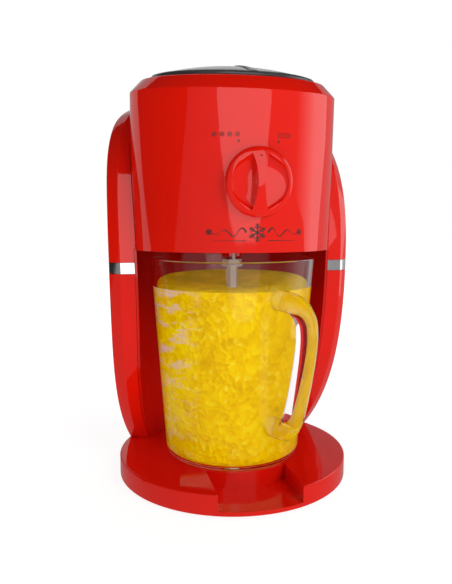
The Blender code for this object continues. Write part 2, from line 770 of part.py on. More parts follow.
def build_disc():
    """The blade disc with its two blades, their screws and the cap nut."""
    low, high = DISC_Z
    item = tube("shaving_disc", SHAFT_R + GAP, DISC_R, low, high, STEEL, steps=48)
    for i, side in enumerate((-1, 1)):
        edges = sorted((side * 0.016, side * 0.047))
        window = box(f"cut_blade_window_{i}", (edges[0], -0.0020, 0.27), (edges[1], 0.0020, 0.30),
                     cutter=True)
        cut(item, window)
        bore = drum(f"cut_disc_screw_{i}", 0.0016, 0.27, 0.30, centre=(side * 0.031, side * 0.0085),
                    steps=12, cutter=True)
        cut(item, bore)
        build_blade(i, side)
    nut = [(0.0, 0.2935), (0.0045, 0.2930), (0.0068, 0.2905), (0.0068, high + GAP),
           (SHAFT_R + GAP, high + GAP), (SHAFT_R + GAP, 0.2910), (0.0, 0.2910)]
    turned("disc_nut", nut, STEEL, steps=18)


def build_blade(i, side):
    """One blade: a flat strip whose edge stands over the disc's window."""
    high = DISC_Z[1]
    spread = sorted((side * 0.0170, side * 0.0460))
    depth = sorted((side * -0.0012, side * 0.0125))
    low_corner = (spread[0], depth[0], high + GAP)
    high_corner = (spread[1], depth[1], high + 0.0013)
    blade = box(f"blade_{i + 1}", low_corner, high_corner, STEEL)
    centre = (side * 0.031, side * 0.0085)
    cut(blade, drum(f"cut_blade_bore_{i}", 0.0016, 0.27, 0.30, centre=centre, steps=12, cutter=True))
    screw = [(0.0, high + 0.0026), (0.0026, high + 0.0026), (0.0028, high + 0.0016),
             (0.0013, high + 0.0016), (0.0013, DISC_Z[0] + 0.0005), (0.0, DISC_Z[0] + 0.0005)]
    turned(f"blade_screw_{i + 1}", screw, STEEL, centre, 12)


def build_motor():
    centre = (0.0, MOTOR_Y)
    low = PLATE_Z[1] + GAP
    boss = 0.0060
    bore = 0.0021
    wall = 0.0012
    profile = [(bore, MOTOR_TOP), (MOTOR_R, MOTOR_TOP), (MOTOR_R, low), (boss, low),
               (boss, low - 0.0022), (bore, low - 0.0022), (bore, low + wall),
               (MOTOR_R - wall, low + wall), (MOTOR_R - wall, MOTOR_TOP - wall),
               (bore, MOTOR_TOP - wall)]
    can = turned("motor_can", profile, STEEL, centre, 32, ring=True)
    for i, side in enumerate((-1, 1)):
        x = side * 0.0125
        cut(can, drum(f"cut_can_screw_{i}", 0.0015, 0.25, low + wall + 0.001, centre=(x, MOTOR_Y),
                      steps=12, cutter=True))
        head = PLATE_Z[0] - 0.0003
        screw = [(0.0, low + 0.0030), (0.0012, low + 0.0030), (0.0012, head), (0.0027, head),
                 (0.0027, head - 0.0016), (0.0, head - 0.0016)]
        turned(f"motor_screw_{i + 1}", screw, STEEL, (x, MOTOR_Y), 12)
    shaft = 0.0015
    core = 0.0135
    rotor = [(0.0, 0.3165), (shaft, 0.3165), (shaft, 0.2985), (core, 0.2985), (core, 0.2645),
             (shaft, 0.2645), (shaft, 0.2285), (0.0, 0.2285)]
    turned("motor_rotor", rotor, STEEL, centre, 24)
    build_fan(centre)


def build_fan(centre):
    """Cooling fan on the motor's upper shaft end."""
    hub = tube("cooling_fan", 0.0018, 0.0050, 0.3093, 0.3150, WHITE, centre, 20)
    blades = 5
    for i in range(blades):
        blade = box(f"join_fan_{i}", (0.0040, -0.0035, -0.0005), (0.0170, 0.0035, 0.0005), cutter=True)
        turn = Matrix.Rotation(2 * math.pi * i / blades, 4, "Z")
        pitch = Matrix.Rotation(math.radians(28), 4, "X")
        blade.matrix_world = Matrix.Translation((*centre, 0.3122)) @ turn @ pitch
        join(hub, blade)


# ---------------------------------------------------------------- control
def build_control():
    """The selector switch behind the head's wall, its stepped shaft and the knob."""
    half = 0.011
    near = -0.0129
    body = box("switch_body", (-half, -half, near - 0.016), (half, half, near), CHARCOAL)
    bore = drum("cut_switch_bore", 0.0034, near - 0.0125, near + 0.002, steps=16, cutter=True)
    cut(along_knob(body), along_knob(bore))
    stem = 0.003
    pin = 0.0017
    step = KNOB_LIFT + 0.0016
    end = KNOB_LIFT + 0.0070
    profile = [(0.0, end), (pin, end), (pin, step), (stem, step), (stem, near - 0.0118),
               (0.0, near - 0.0118)]
    along_knob(turned("knob_shaft", profile, GREY, steps=16))
    build_knob()


def build_knob():
    """A domed round knob with a waisted grip bar left between two crescent pockets."""
    base = KNOB_LIFT
    top = base + KNOB_DEPTH
    profile = [(0.0, top), (0.0100, top - 0.0008), (0.0190, top - 0.0029), (0.0262, top - 0.0055),
               (0.0280, top - 0.0068), (KNOB_R, top - 0.0085), (KNOB_R - 0.0004, base), (0.0, base)]
    knob = along_knob(turned("knob", profile, RED, steps=40))
    pocket_r = 0.0242
    swing = math.radians(73)
    waist = 0.0029
    rise = pocket_r * math.sin(swing)
    flare = pocket_r * math.cos(swing) - waist
    bow = (rise ** 2 + flare ** 2) / (2 * flare)
    lean = math.asin(rise / bow)
    floor = base + 0.0022
    for i, side in enumerate((0.0, math.pi)):
        rim = arc((0.0, 0.0), pocket_r, -swing, swing, 15)
        inner = arc((waist + bow, 0.0), bow, math.pi - lean, math.pi + lean, 9)
        outline = turn_outline([*rim, *inner[1:-1]], side)
        cut(knob, along_knob(plate(f"cut_pocket_{i}", [outline], floor, top + 0.01, cutter=True)))
    step = drum("cut_knob_bore", 0.0033, base - 0.01, base + 0.0019, steps=16, cutter=True)
    pin = drum("cut_knob_pin", 0.0020, base - 0.01, base + 0.0073, steps=16, cutter=True)
    cut(knob, along_knob(step), along_knob(pin))


def turn_outline(outline, angle):
    c = math.cos(angle)
    s = math.sin(angle)
    return [(c * x - s * y, s * x + c * y) for x, y in outline]


# ---------------------------------------------------------------- pitcher and paddle
def pitcher_radius(z):
    """Outer radius of the pitcher's straight taper."""
    t = (z - PITCHER_FOOT_Z) / (PITCHER_RIM_Z - PITCHER_FOOT_Z)
    return PITCHER_FOOT_R + (PITCHER_RIM_R - PITCHER_FOOT_R) * t


def build_pitcher():
    foot = PITCHER_FOOT_Z
    rim = PITCHER_RIM_Z
    wall = 0.0022
    floor = foot + 0.003
    corner = 0.0035
    profile = [(0.0, 0.0315), (0.0022, 0.0305), (0.0030, floor + 0.0005), (0.0060, floor),
               (PITCHER_FOOT_R - corner - wall, floor), (pitcher_radius(0.032) - wall, 0.032),
               (PITCHER_RIM_R - wall, rim - 0.0004), (PITCHER_RIM_R, rim),
               (pitcher_radius(foot + corner), foot + corner), (PITCHER_FOOT_R - 0.0028, foot), (0.0, foot)]
    turned("pitcher", profile, CLEAR, steps=48)
    build_handle()


def eased(path):
    """The path with a point added halfway along each span, on a smooth curve through the rest."""
    smooth_path = [path[0]]
    for i in range(1, len(path) - 2):
        before, here, there, after = path[i - 1:i + 3]
        middle = [(9 * (b + c) - a - d) / 16 for a, b, c, d in zip(before, here, there, after)]
        smooth_path += [here, tuple(middle)]
    return [*smooth_path, path[-2], path[-1]]


def build_handle():
    """A D-shaped grip in an upright plane through the axis, bonded on by its two ends."""
    # (radius, height) of the grip's centre line
    path = [(0.070, 0.1790), (0.092, 0.1785), (0.106, 0.1750), (0.1145, 0.1660), (0.1165, 0.1530),
            (0.1145, 0.1350), (0.1095, 0.1120), (0.1035, 0.0900), (0.0975, 0.0740),
            (0.0885, 0.0645), (0.066, 0.0620)]
    x = math.sin(HANDLE_AZIMUTH)
    y = -math.cos(HANDLE_AZIMUTH)
    points = [(r * x, r * y, z) for r, z in eased(path)]
    handle = bar("pitcher_handle", points, HANDLE_R, CLEAR)
    ease = GAP
    core = turned("cut_handle_ends", [(0.0, 0.25), (pitcher_radius(0.25) + ease, 0.25),
                                      (pitcher_radius(0.0) + ease, 0.0), (0.0, 0.0)],
                  None, steps=48, cutter=True)
    cut(handle, core)


def build_paddle():
    """The stirring paddle: hexagonal collar with a tang, a long shaft and two blades."""
    collar_low = 0.2005
    collar_top = 0.2115
    collar = plate("paddle_collar", [hexagon(0.0098)], collar_low + 0.0012, collar_top, GREY)
    join(collar, drum("join_flange", 0.0106, collar_low, collar_low + 0.002, steps=24, cutter=True))
    join(collar, box("join_tang", (-0.0014, -0.0070, collar_top - 0.002),
                     (0.0014, 0.0070, COUPLING_LOW + 0.0034), cutter=True))
    shaft_low = 0.0262
    shaft = plate("paddle_shaft", [hexagon(0.0056)], shaft_low, collar_low - GAP, GREY)
    cut(shaft, drum("cut_pivot", 0.0036, 0.02, 0.0330, steps=16, cutter=True))
    blades = plate("stirring_blades", [circle((0.0, 0.0), 0.0088, 24), hexagon(0.0059)],
                   0.040, 0.070, GREY)
    for i, side in enumerate((-1, 1)):
        reach = sorted((side * 0.0078, side * 0.054))
        arm = box(f"join_arm_{i}", (reach[0], -0.0012, -0.011), (reach[1], 0.0012, 0.011), cutter=True)
        arm.matrix_world = (Matrix.Translation((0, 0, 0.055))
                            @ Matrix.Rotation(math.radians(30 * side), 4, "X"))
        join(blades, arm)


build_base()
build_housing()
build_head()
build_gears()
build_gearbox_plate()
build_shaft()
build_motor()
build_control()
build_pitcher()
build_paddle()
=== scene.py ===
import json
import math

import bmesh
import bpy
from mathutils import Matrix, Vector, noise


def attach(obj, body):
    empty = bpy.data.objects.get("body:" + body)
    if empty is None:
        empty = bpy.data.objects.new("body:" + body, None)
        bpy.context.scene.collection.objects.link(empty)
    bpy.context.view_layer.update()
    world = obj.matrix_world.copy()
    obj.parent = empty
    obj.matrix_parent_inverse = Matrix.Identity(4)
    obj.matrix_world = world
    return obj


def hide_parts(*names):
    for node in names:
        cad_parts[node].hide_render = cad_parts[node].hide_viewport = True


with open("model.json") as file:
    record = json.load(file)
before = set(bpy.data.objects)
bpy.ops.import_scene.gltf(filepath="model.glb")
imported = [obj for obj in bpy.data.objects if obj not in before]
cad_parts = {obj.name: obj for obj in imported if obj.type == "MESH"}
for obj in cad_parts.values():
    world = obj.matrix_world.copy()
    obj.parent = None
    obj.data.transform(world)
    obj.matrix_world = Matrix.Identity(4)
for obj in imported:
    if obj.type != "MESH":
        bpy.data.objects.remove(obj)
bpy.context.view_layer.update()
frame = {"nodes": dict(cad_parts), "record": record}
NODES = frame["nodes"]

# ------------------------ shared dimensions, metres
GAP = 0.0003
WALL = 0.0025
BASE_R = 0.112
BASE_LOW = 0.002
BASE_TOP = 0.021
SLOT_HALF = 0.038
SLOT_FLOOR = 0.006
SLOT_ARC_R = 0.0655
HOUSING_R = 0.1195
HOUSING_FOOT_R = 0.112
BAND_LOW = 0.1995
BAND_TOP = 0.2097
HOUSING_TOP = 0.368
HOUSING_WIDEST_Z = 0.300
SHOULDER_Z = 0.340
SHOULDER_IN = 0.014
VENT_HALF = 0.034
VENT_LOW = 0.236
VENT_TOP = 0.316
RECESS_R = 0.0946
RECESS_FOOT_R = 0.0885
LINER_WALL = 0.0022
FACET_X = 0.0095
FACET_Y = 0.008
HEAD_R = 0.0965
HEAD_Y_LOW = 0.0088
HEAD_Y_TOP = 0.0016
HEAD_LOW = 0.2215
HEAD_RIM_Z = 0.3538
CHAMFER_IN = 0.0105
CHAMFER_UP = 0.0112
TOP_SLOPE = 0.125
CEILING_LOW = 0.2222
CEILING_TOP = 0.2247
LID_R = 0.0772
LID_RISE = 0.0145
MOUTH_R = 0.0725
SEAT_RISE = 0.012
PITCHER_RIM_R = 0.0794
PITCHER_RIM_Z = 0.213
PITCHER_FOOT_R = 0.0655
PITCHER_FOOT_Z = BASE_TOP + GAP
PITCHER_WALL = 0.0022
HANDLE_AZIMUTH = math.radians(18.5)
HANDLE_R = 0.0092
KNOB_Z = 0.280
KNOB_R = 0.0289
KNOB_LIFT = 0.0010
KNOB_DEPTH = 0.0101
KNOB_DOME_R = 0.0262
KNOB_DOME_DROP = 0.0055
SLUSH_TOP = 0.1865


# ------------------------ material helpers
def new_material(name):
    made = bpy.data.materials.new(name)
    made.use_nodes = True
    tree = made.node_tree
    return made, tree, tree.nodes["Principled BSDF"]


def add(tree, kind, **values):
    """A node of this kind; keyword names are its properties."""
    node = tree.nodes.new(kind)
    for key, value in values.items():
        setattr(node, key, value)
    return node


def put(node, values):
    """Set the node's inputs, by name, to these values."""
    for name, value in values.items():
        node.inputs[name].default_value = value


def noise_value(tree, scale, detail=3.0, rough=0.5, stretch=(1.0, 1.0, 1.0)):
    """Fac output of a noise texture in object coordinates."""
    coords = add(tree, "ShaderNodeTexCoord")
    mapping = add(tree, "ShaderNodeMapping")
    mapping.inputs["Scale"].default_value = stretch
    tree.links.new(coords.outputs["Object"], mapping.inputs["Vector"])
    texture = add(tree, "ShaderNodeTexNoise")
    put(texture, {"Scale": scale, "Detail": detail, "Roughness": rough})
    tree.links.new(mapping.outputs["Vector"], texture.inputs["Vector"])
    return texture.outputs["Fac"]


def ramp(tree, source, stops):
    """Colour ramp over (place, colour) stops."""
    node = add(tree, "ShaderNodeValToRGB")
    elements = node.color_ramp.elements
    while len(elements) < len(stops):
        elements.new(0.5)
    for element, (place, colour) in zip(elements, stops):
        element.position = place
        element.color = (*colour, 1.0)
    tree.links.new(source, node.inputs["Fac"])
    return node.outputs["Color"]


def spread(tree, source, low, high, span=(0.3, 0.7)):
    """Map a value to a range of numbers."""
    node = add(tree, "ShaderNodeMapRange")
    put(node, {"From Min": span[0], "From Max": span[1], "To Min": low, "To Max": high})
    tree.links.new(source, node.inputs["Value"])
    return node.outputs["Result"]


def tint(tree, shader, source, dark, light):
    """A base colour that wanders between two tones."""
    tree.links.new(ramp(tree, source, [(0.3, dark), (0.7, light)]), shader.inputs["Base Color"])


def bumped(tree, shader, source, strength, distance):
    """Let a value raise the surface's grain."""
    node = add(tree, "ShaderNodeBump")
    put(node, {"Strength": strength, "Distance": distance})
    tree.links.new(source, node.inputs["Height"])
    tree.links.new(node.outputs["Normal"], shader.inputs["Normal"])


def plastic(name, colour, roughness, vary=0.06, peel=0.0, metallic=0.0):
    """A moulded finish: slightly uneven colour and gloss, with a fine surface grain."""
    made, tree, shader = new_material(name)
    cloud = noise_value(tree, 18.0, 4.0)
    dark = tuple(c * (1 - vary) for c in colour)
    light = tuple(min(1.0, c * (1 + vary)) for c in colour)
    tint(tree, shader, cloud, dark, light)
    fine = noise_value(tree, 140.0, 2.0)
    tree.links.new(spread(tree, fine, roughness * 0.85, roughness * 1.15), shader.inputs["Roughness"])
    shader.inputs["Metallic"].default_value = metallic
    if peel:
        bumped(tree, shader, noise_value(tree, 900.0, 2.0), peel, 0.0002)
    return made


def clear(name, colour, roughness=0.02, shade=(0.94, 0.94, 0.94), ior=1.49, gloss=0.5):
    """Clear plastic that lets the lamps' light through to what is behind it."""
    made, tree, shader = new_material(name)
    cloud = noise_value(tree, 9.0, 2.0)
    dark = tuple(c * 0.985 for c in colour)
    tint(tree, shader, cloud, dark, colour)
    put(shader, {"Roughness": roughness, "Transmission Weight": 1.0, "IOR": ior, "Specular IOR Level": gloss})
    through = add(tree, "ShaderNodeBsdfTransparent")
    through.inputs["Color"].default_value = (*shade, 1.0)
    path = add(tree, "ShaderNodeLightPath")
    mix = add(tree, "ShaderNodeMixShader")
    tree.links.new(path.outputs["Is Shadow Ray"], mix.inputs["Fac"])
    tree.links.new(shader.outputs["BSDF"], mix.inputs[1])
    tree.links.new(through.outputs["BSDF"], mix.inputs[2])
    tree.links.new(mix.outputs["Shader"], tree.nodes["Material Output"].inputs["Surface"])
    return made


def brushed(name, colour, roughness, stretch=(1.0, 1.0, 30.0)):
    """Bare metal with streaks along the stretched axis."""
    made, tree, shader = new_material(name)
    streaks = noise_value(tree, 60.0, 4.0, 0.6, stretch=stretch)
    dark = tuple(c * 0.82 for c in colour)
    tint(tree, shader, streaks, dark, colour)
    tree.links.new(spread(tree, streaks, roughness * 0.7, roughness * 1.3), shader.inputs["Roughness"])
    shader.inputs["Metallic"].default_value = 1.0
    bumped(tree, shader, streaks, 0.15, 0.0002)
    return made


def mixed(tree, one, other, share):
    """A colour between two; each colour, and the share, may be a socket or a constant."""
    blend = add(tree, "ShaderNodeMix", data_type="RGBA", blend_type="MIX")
    for name, value in (("Factor", share), ("A", one), ("B", other)):
        if isinstance(value, bpy.types.NodeSocket):
            tree.links.new(value, blend.inputs[name])
        else:
            blend.inputs[name].default_value = (*value, 1.0) if name != "Factor" else value
    return blend.outputs["Result"]


def product(tree, one, other):
    times = add(tree, "ShaderNodeMath", operation="MULTIPLY")
    tree.links.new(one, times.inputs[0])
    tree.links.new(other, times.inputs[1])
    return times.outputs["Value"]


def slush_material():
    """Coarse shaved ice soaked in yellow syrup: flakes with painted glints, hollows, a painted reflection in
    pale streaks, a few green flecks, painted shade on its top and a faint painted glow.
    """
    made, tree, shader = new_material("slush")
    coords = add(tree, "ShaderNodeTexCoord")
    # flakes with wandering borders, under clouds of denser syrup; the palest flake tones are painted glints
    warp = add(tree, "ShaderNodeTexNoise")
    put(warp, {"Scale": 45.0, "Detail": 4.0})
    tree.links.new(coords.outputs["Object"], warp.inputs["Vector"])
    bend = add(tree, "ShaderNodeVectorMath", operation="MULTIPLY_ADD")
    bend.inputs[1].default_value = (0.02, 0.02, 0.02)
    tree.links.new(warp.outputs["Color"], bend.inputs[0])
    tree.links.new(coords.outputs["Object"], bend.inputs[2])
    flakes = add(tree, "ShaderNodeTexVoronoi", feature="F1")
    flakes.inputs["Scale"].default_value = 230.0
    tree.links.new(bend.outputs["Vector"], flakes.inputs["Vector"])
    tone = add(tree, "ShaderNodeSeparateColor")
    tree.links.new(flakes.outputs["Color"], tone.inputs["Color"])
    # flake tones, whose top stops are painted glints in place of highlights
    flake_and_glint = ramp(tree, tone.outputs["Red"], [
        (0.0, (0.72, 0.40, 0.0)), (0.35, (0.88, 0.55, 0.0)), (0.7, (0.98, 0.66, 0.0)),
        (0.93, (1.0, 0.74, 0.01)), (1.0, (1.0, 0.84, 0.07))])
    cloud = ramp(tree, noise_value(tree, 26.0, 5.0, 0.6), [
        (0.34, (0.78, 0.44, 0.0)), (0.5, (0.95, 0.61, 0.0)), (0.66, (1.0, 0.72, 0.0))])
    body = mixed(tree, flake_and_glint, cloud, 0.55)
    place = add(tree, "ShaderNodeSeparateXYZ")
    tree.links.new(coords.outputs["Object"], place.inputs["Vector"])
    across, height = place.outputs["X"], place.outputs["Z"]
    # amber towards +X, a painted reflection in pale upright streaks towards -X, green flecks near the foot
    amber = ramp(tree, noise_value(tree, 60.0, 3.0), [(0.3, (0.62, 0.33, 0.0)), (0.7, (0.78, 0.45, 0.0))])
    body = mixed(tree, body, amber, spread(tree, across, 0.0, 0.75, (0.0, 0.055)))
    streaks = noise_value(tree, 34.0, 4.0, 0.7, stretch=(1.0, 1.0, 3.4))
    # painted reflection: pinkish-white upright streaks towards -X stand in for the reflection on the
    # pitcher's wall
    painted_reflection = product(tree, spread(tree, streaks, 0.0, 1.0, (0.50, 0.60)),
                    spread(tree, across, 1.0, 0.0, (-0.066, -0.042)))
    painted_reflection = product(tree, painted_reflection, spread(tree, height, 0.35, 1.0, (0.075, 0.125)))
    body = mixed(tree, body, (0.84, 0.56, 0.42), painted_reflection)
    moss = product(tree, spread(tree, noise_value(tree, 55.0, 3.0), 0.0, 0.6, (0.54, 0.68)),
                   spread(tree, height, 1.0, 0.0, (0.035, 0.055)))
    body = mixed(tree, body, (0.25, 0.33, 0.0), moss)
    # painted shade: an olive tinge on what faces up, for the shade under the head
    facing = add(tree, "ShaderNodeNewGeometry")
    normal = add(tree, "ShaderNodeSeparateXYZ")
    tree.links.new(facing.outputs["Normal"], normal.inputs["Vector"])
    painted_top_shade = ramp(tree, noise_value(tree, 40.0, 4.0), [(0.3, (0.70, 0.60, 0.0)), (0.7, (0.98, 0.80, 0.0))])
    body = mixed(tree, body, painted_top_shade, spread(tree, normal.outputs["Z"], 0.0, 1.0, (0.55, 0.85)))
    tree.links.new(body, shader.inputs["Base Color"])
    tree.links.new(spread(tree, tone.outputs["Green"], 0.3, 0.6, (0.0, 1.0)), shader.inputs["Roughness"])
    # painted light: the slush glows faintly in its own colour, to brighten it as if lit through the clear
    # wall
    tree.links.new(body, shader.inputs["Emission Color"])
    put(shader, {"Specular IOR Level": 0.0, "Emission Strength": 0.14})
    bumped(tree, shader, flakes.outputs["Distance"], 0.5, 0.002)
    return made


RED = plastic("red_plastic", (0.80, 0.0085, 0.0020), 0.05, vary=0.02)
# painted shade: a darker copy of the red plastic, for parts that sit in shade, such as the recess liner
# behind the pitcher
SHADED_RED = plastic("dark_red_plastic", (0.62, 0.007, 0.0020), 0.07, vary=0.04)
CHROME = plastic("chrome_plastic", (0.80, 0.80, 0.80), 0.10, vary=0.03, metallic=1.0)
CHARCOAL = plastic("charcoal_plastic", (0.055, 0.055, 0.058), 0.2, vary=0.08, peel=0.02)
GREY = plastic("grey_plastic", (0.62, 0.62, 0.60), 0.22, vary=0.06, peel=0.05)
WHITE = plastic("white_plastic", (0.78, 0.78, 0.75), 0.38, vary=0.04, peel=0.08)
RUBBER = plastic("rubber", (0.028, 0.028, 0.028), 0.75, vary=0.25, peel=0.4)
INK = plastic("dark_print", (0.035, 0.015, 0.014), 0.35, vary=0.15)
FAINT_INK = plastic("faint_print", (0.13, 0.010, 0.008), 0.35, vary=0.15)
STEEL = brushed("steel", (0.62, 0.62, 0.62), 0.25)
BRONZE = brushed("bronze", (0.52, 0.35, 0.16), 0.38, stretch=(3.0, 3.0, 3.0))
CLEAR = clear("clear_plastic", (0.99, 0.985, 0.985), ior=1.3, gloss=0.06)
HANDLE = clear("handle_plastic", (0.95, 0.92, 0.92), 0.03, ior=1.24)
SMOKE = clear("smoked_plastic", (0.42, 0.42, 0.43), 0.04, shade=(0.4, 0.4, 0.4))
SLUSH = slush_material()
BY_SLOT = {"red_plastic": RED, "dark_red_plastic": SHADED_RED, "chrome_plastic": CHROME,
           "charcoal_plastic": CHARCOAL, "grey_plastic": GREY, "white_plastic": WHITE,
           "rubber": RUBBER, "steel": STEEL, "bronze": BRONZE, "clear_plastic": CLEAR,
           "smoked_plastic": SMOKE}


# ------------------------ modelling helpers
def placed(name, data):
    """A new object with this data, in the scene."""
    made = bpy.data.objects.new(name, data)
    bpy.context.scene.collection.objects.link(made)
    return made


def piece(name, points, faces, material):
    mesh = bpy.data.meshes.new(name)
    mesh.from_pydata(points, [], faces)
    mesh.materials.append(material)
    return placed(name, mesh)


def loft(name, loops, material=None, low_cap=False, high_cap=False, ring=False):
    """A skin through loops of equal length; ring joins the last loop to the first."""
    count = len(loops[0])
    points = [point for loop in loops for point in loop]
    faces = []
    spans = len(loops) if ring else len(loops) - 1
    for row in range(spans):
        a = row * count
        b = ((row + 1) % len(loops)) * count
        for i in range(count):
            j = (i + 1) % count
            faces.append((a + i, a + j, b + j, b + i))
    if low_cap:
        faces.append(tuple(reversed(range(count))))
    if high_cap:
        faces.append(tuple(range(len(points) - count, len(points))))
    return piece(name, points, faces, material)


def spun(name, profile, material=None, steps=128, ring=False):
    """A turned shape; profile points (radius, z). A radius of 0 closes on the axis."""
    mesh = bmesh.new()
    turns = [2 * math.pi * i / steps for i in range(steps)]
    rows = []
    for radius, z in profile:
        if radius < 1e-9:
            rows.append([mesh.verts.new((0.0, 0.0, z))])
        else:
            rows.append([mesh.verts.new((radius * math.cos(t), radius * math.sin(t), z)) for t in turns])
    pairs = list(zip(rows, rows[1:]))
    if ring:
        pairs.append((rows[-1], rows[0]))
    for one, other in pairs:
        for i in range(steps):
            j = (i + 1) % steps
            corners = [one[i % len(one)], other[i % len(other)], other[j % len(other)], one[j % len(one)]]
            mesh.faces.new(list(dict.fromkeys(corners)))
    bmesh.ops.recalc_face_normals(mesh, faces=mesh.faces)
    data = bpy.data.meshes.new(name)
    mesh.to_mesh(data)
    mesh.free()
    data.materials.append(material)
    return placed(name, data)


def prism(name, outline, low, high):
    """An upright solid with this outline between two heights."""
    return loft(name, [level(outline, low), level(outline, high)], low_cap=True, high_cap=True)


def block(name, low, high):
    """A box between two opposite corners."""
    outline = [(low[0], low[1]), (high[0], low[1]), (high[0], high[1]), (low[0], high[1])]
    return prism(name, outline, low[2], high[2])


def paint(item, material):
    """Give the whole piece one material."""
    item.data.materials.clear()
    item.data.materials.append(material)
    for face in item.data.polygons:
        face.material_index = 0


def settle(item):
    """Apply the piece's modifiers and its matrix."""
    bpy.context.view_layer.update()
    graph = bpy.context.evaluated_depsgraph_get()
    mesh = bpy.data.meshes.new_from_object(item.evaluated_get(graph))
    mesh.transform(item.matrix_world)
    item.modifiers.clear()
    item.data = mesh
    item.matrix_world = Matrix.Identity(4)


def combine(item, others, operation="DIFFERENCE"):
    """Cut, join or intersect the piece with each of the others, which are used up."""
    for other in others:
        step = item.modifiers.new("step", "BOOLEAN")
        step.operation = operation
        step.solver = "EXACT"
        step.object = other
    settle(item)
    for other in others:
        bpy.data.objects.remove(other)


def thicken(item, thickness):
    """Give an open surface its wall, inwards."""
    wall = item.modifiers.new("wall", "SOLIDIFY")
    wall.thickness = thickness
    wall.offset = -1.0
    wall.use_even_offset = True


def round_edges(item, width, segments, angle):
    """A bevel on the edges sharper than this angle in degrees."""
    step = item.modifiers.new("round", "BEVEL")
    step.width = width
    step.segments = segments
    step.limit_method = "ANGLE"
    step.angle_limit = math.radians(angle)
    return step


def finish_piece(item, body, slot, *replaced, angle=32.0, bevel=0.0, segments=2):
    """Shade the piece, round its edges and tie it to its body."""
    item.data.shade_smooth()
    item.data.set_sharp_from_angle(angle=math.radians(angle))
    if bevel:
        round_edges(item, bevel, segments, angle).harden_normals = True
    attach(item, body)
    if replaced:
        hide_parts(*replaced)


def bend_steps(angle, count):
    """Angles from 0 to this many degrees, in radians, in count steps."""
    return [math.radians(angle) * i / count for i in range(count + 1)]


def arc(centre, radius, start, end, count):
    step = (end - start) / (count - 1)
    turns = [start + step * i for i in range(count)]
    return [(centre[0] + radius * math.cos(t), centre[1] + radius * math.sin(t)) for t in turns]


def ellipse(a, b, count):
    turns = [2 * math.pi * i / count for i in range(count)]
    return [(a * math.cos(t), b * math.sin(t)) for t in turns]


def rounded(outline, corners, reach, count=5):
    """The outline with the points at these indexes replaced by short curves."""
    result = []
    for i, point in enumerate(outline):
        if i not in corners:
            result.append(point)
            continue
        here = Vector(point)
        before = Vector(outline[i - 1])
        after = Vector(outline[(i + 1) % len(outline)])
        start = here + (before - here).normalized() * reach
        end = here + (after - here).normalized() * reach
        for k in range(count):
            s = k / (count - 1)
            result.append(tuple(start * (1 - s) ** 2 + here * 2 * s * (1 - s) + end * s * s))
    return result


def soft_corner(before, corner, after, reach, count=5):
    """Loops that round the edge at corner, between two neighbouring loops."""
    loops = []
    for k in range(count):
        s = k / (count - 1)
        loop = []
        for p, q, r in zip(before, corner, after):
            q = Vector(q)
            start = q + (Vector(p) - q).normalized() * reach
            end = q + (Vector(r) - q).normalized() * reach
            loop.append(tuple(start * (1 - s) ** 2 + q * 2 * s * (1 - s) + end * s * s))
        loops.append(loop)
    return loops


def head_centre_y(z):
    """Y of the leaning head's axis at a height."""
    share = (z - HEAD_LOW) / (HEAD_RIM_Z - HEAD_LOW)
    return HEAD_Y_LOW + (HEAD_Y_TOP - HEAD_Y_LOW) * share


def along_knob(item):
    """Turn a piece built along +Z onto the knob's axis, with z = 0 on the head's surface."""
    lean = math.atan2(HEAD_Y_LOW - HEAD_Y_TOP, HEAD_RIM_Z - HEAD_LOW)
    surface = (0.0, head_centre_y(KNOB_Z) - HEAD_R, KNOB_Z)
    item.matrix_world = Matrix.Translation(surface) @ Matrix.Rotation(math.pi / 2 + lean, 4, "X")
    settle(item)
    return item


# ------------------------ outlines
def housing_radius(z):
    """Radius of the round back: it widens upwards and rounds in above its shoulder."""
    t = min(1.0, max(0.0, (z - BASE_TOP) / (HOUSING_WIDEST_Z - BASE_TOP)))
    radius = HOUSING_FOOT_R + (HOUSING_R - HOUSING_FOOT_R) * (1 - (1 - t) ** 2.5)
    if z > SHOULDER_Z:
        u = (z - SHOULDER_Z) / (HOUSING_TOP - SHOULDER_Z)
        radius -= SHOULDER_IN * (1 - math.sqrt(max(0.0, 1 - u ** 2.4)))
    return radius


def housing_front(z):
    """Y of the housing's front edges: furthest forward at the middle, swept back above and below."""
    middle = 0.207
    foremost = -0.0028
    foot_sweep = 0.056
    top_sweep = 0.0237
    if z < middle:
        return foremost + foot_sweep * ((middle - z) / (middle - BASE_TOP)) ** 2.2
    return foremost + top_sweep * ((z - middle) / 0.1) ** 2.52


def housing_plan(z, count):
    """Plan of the housing at a height: round back, two corner facets, straight front."""
    widening_z = 0.270
    widening_span = 0.075
    radius = housing_radius(z)
    edge = housing_front(z)
    start = math.asin(edge / radius)
    back = arc((0.0, 0.0), radius, start, math.pi - start, count)
    grow = 1.0 + max(0.0, (z - widening_z) / widening_span)
    x = radius * math.cos(start) - FACET_X
    y = edge - FACET_Y * grow
    return [(x, y), *back, (-x, y)]


def housing_loop(z, count=97, ease=0.0009):
    """The housing's outline at a height, with its corners eased."""
    outline = rounded(housing_plan(z, count), (0, 1, count, count + 1), ease)
    return level(outline, z)


def inset(outline, distance):
    """A convex counter-clockwise outline moved inwards."""
    points = [Vector(p) for p in outline]
    result = []
    for i, here in enumerate(points):
        first = (here - points[i - 1]).normalized()
        second = (points[(i + 1) % len(points)] - here).normalized()
        one = Vector((-first.y, first.x))
        other = Vector((-second.y, second.x))
        result.append(tuple(here + (one + other) * (distance / (1 + one.dot(other)))))
    return result


def head_outline(radius, centre_y):
    """A circle about the leaning head's axis."""
    return [(x, y + centre_y) for x, y in ellipse(radius, radius, 216)]


def sloped(outline, z):
    """Points over the outline that rise towards the back; z is the height at the head's front."""
    return [(x, y, z + TOP_SLOPE * (y + HEAD_R - HEAD_Y_TOP)) for x, y in outline]


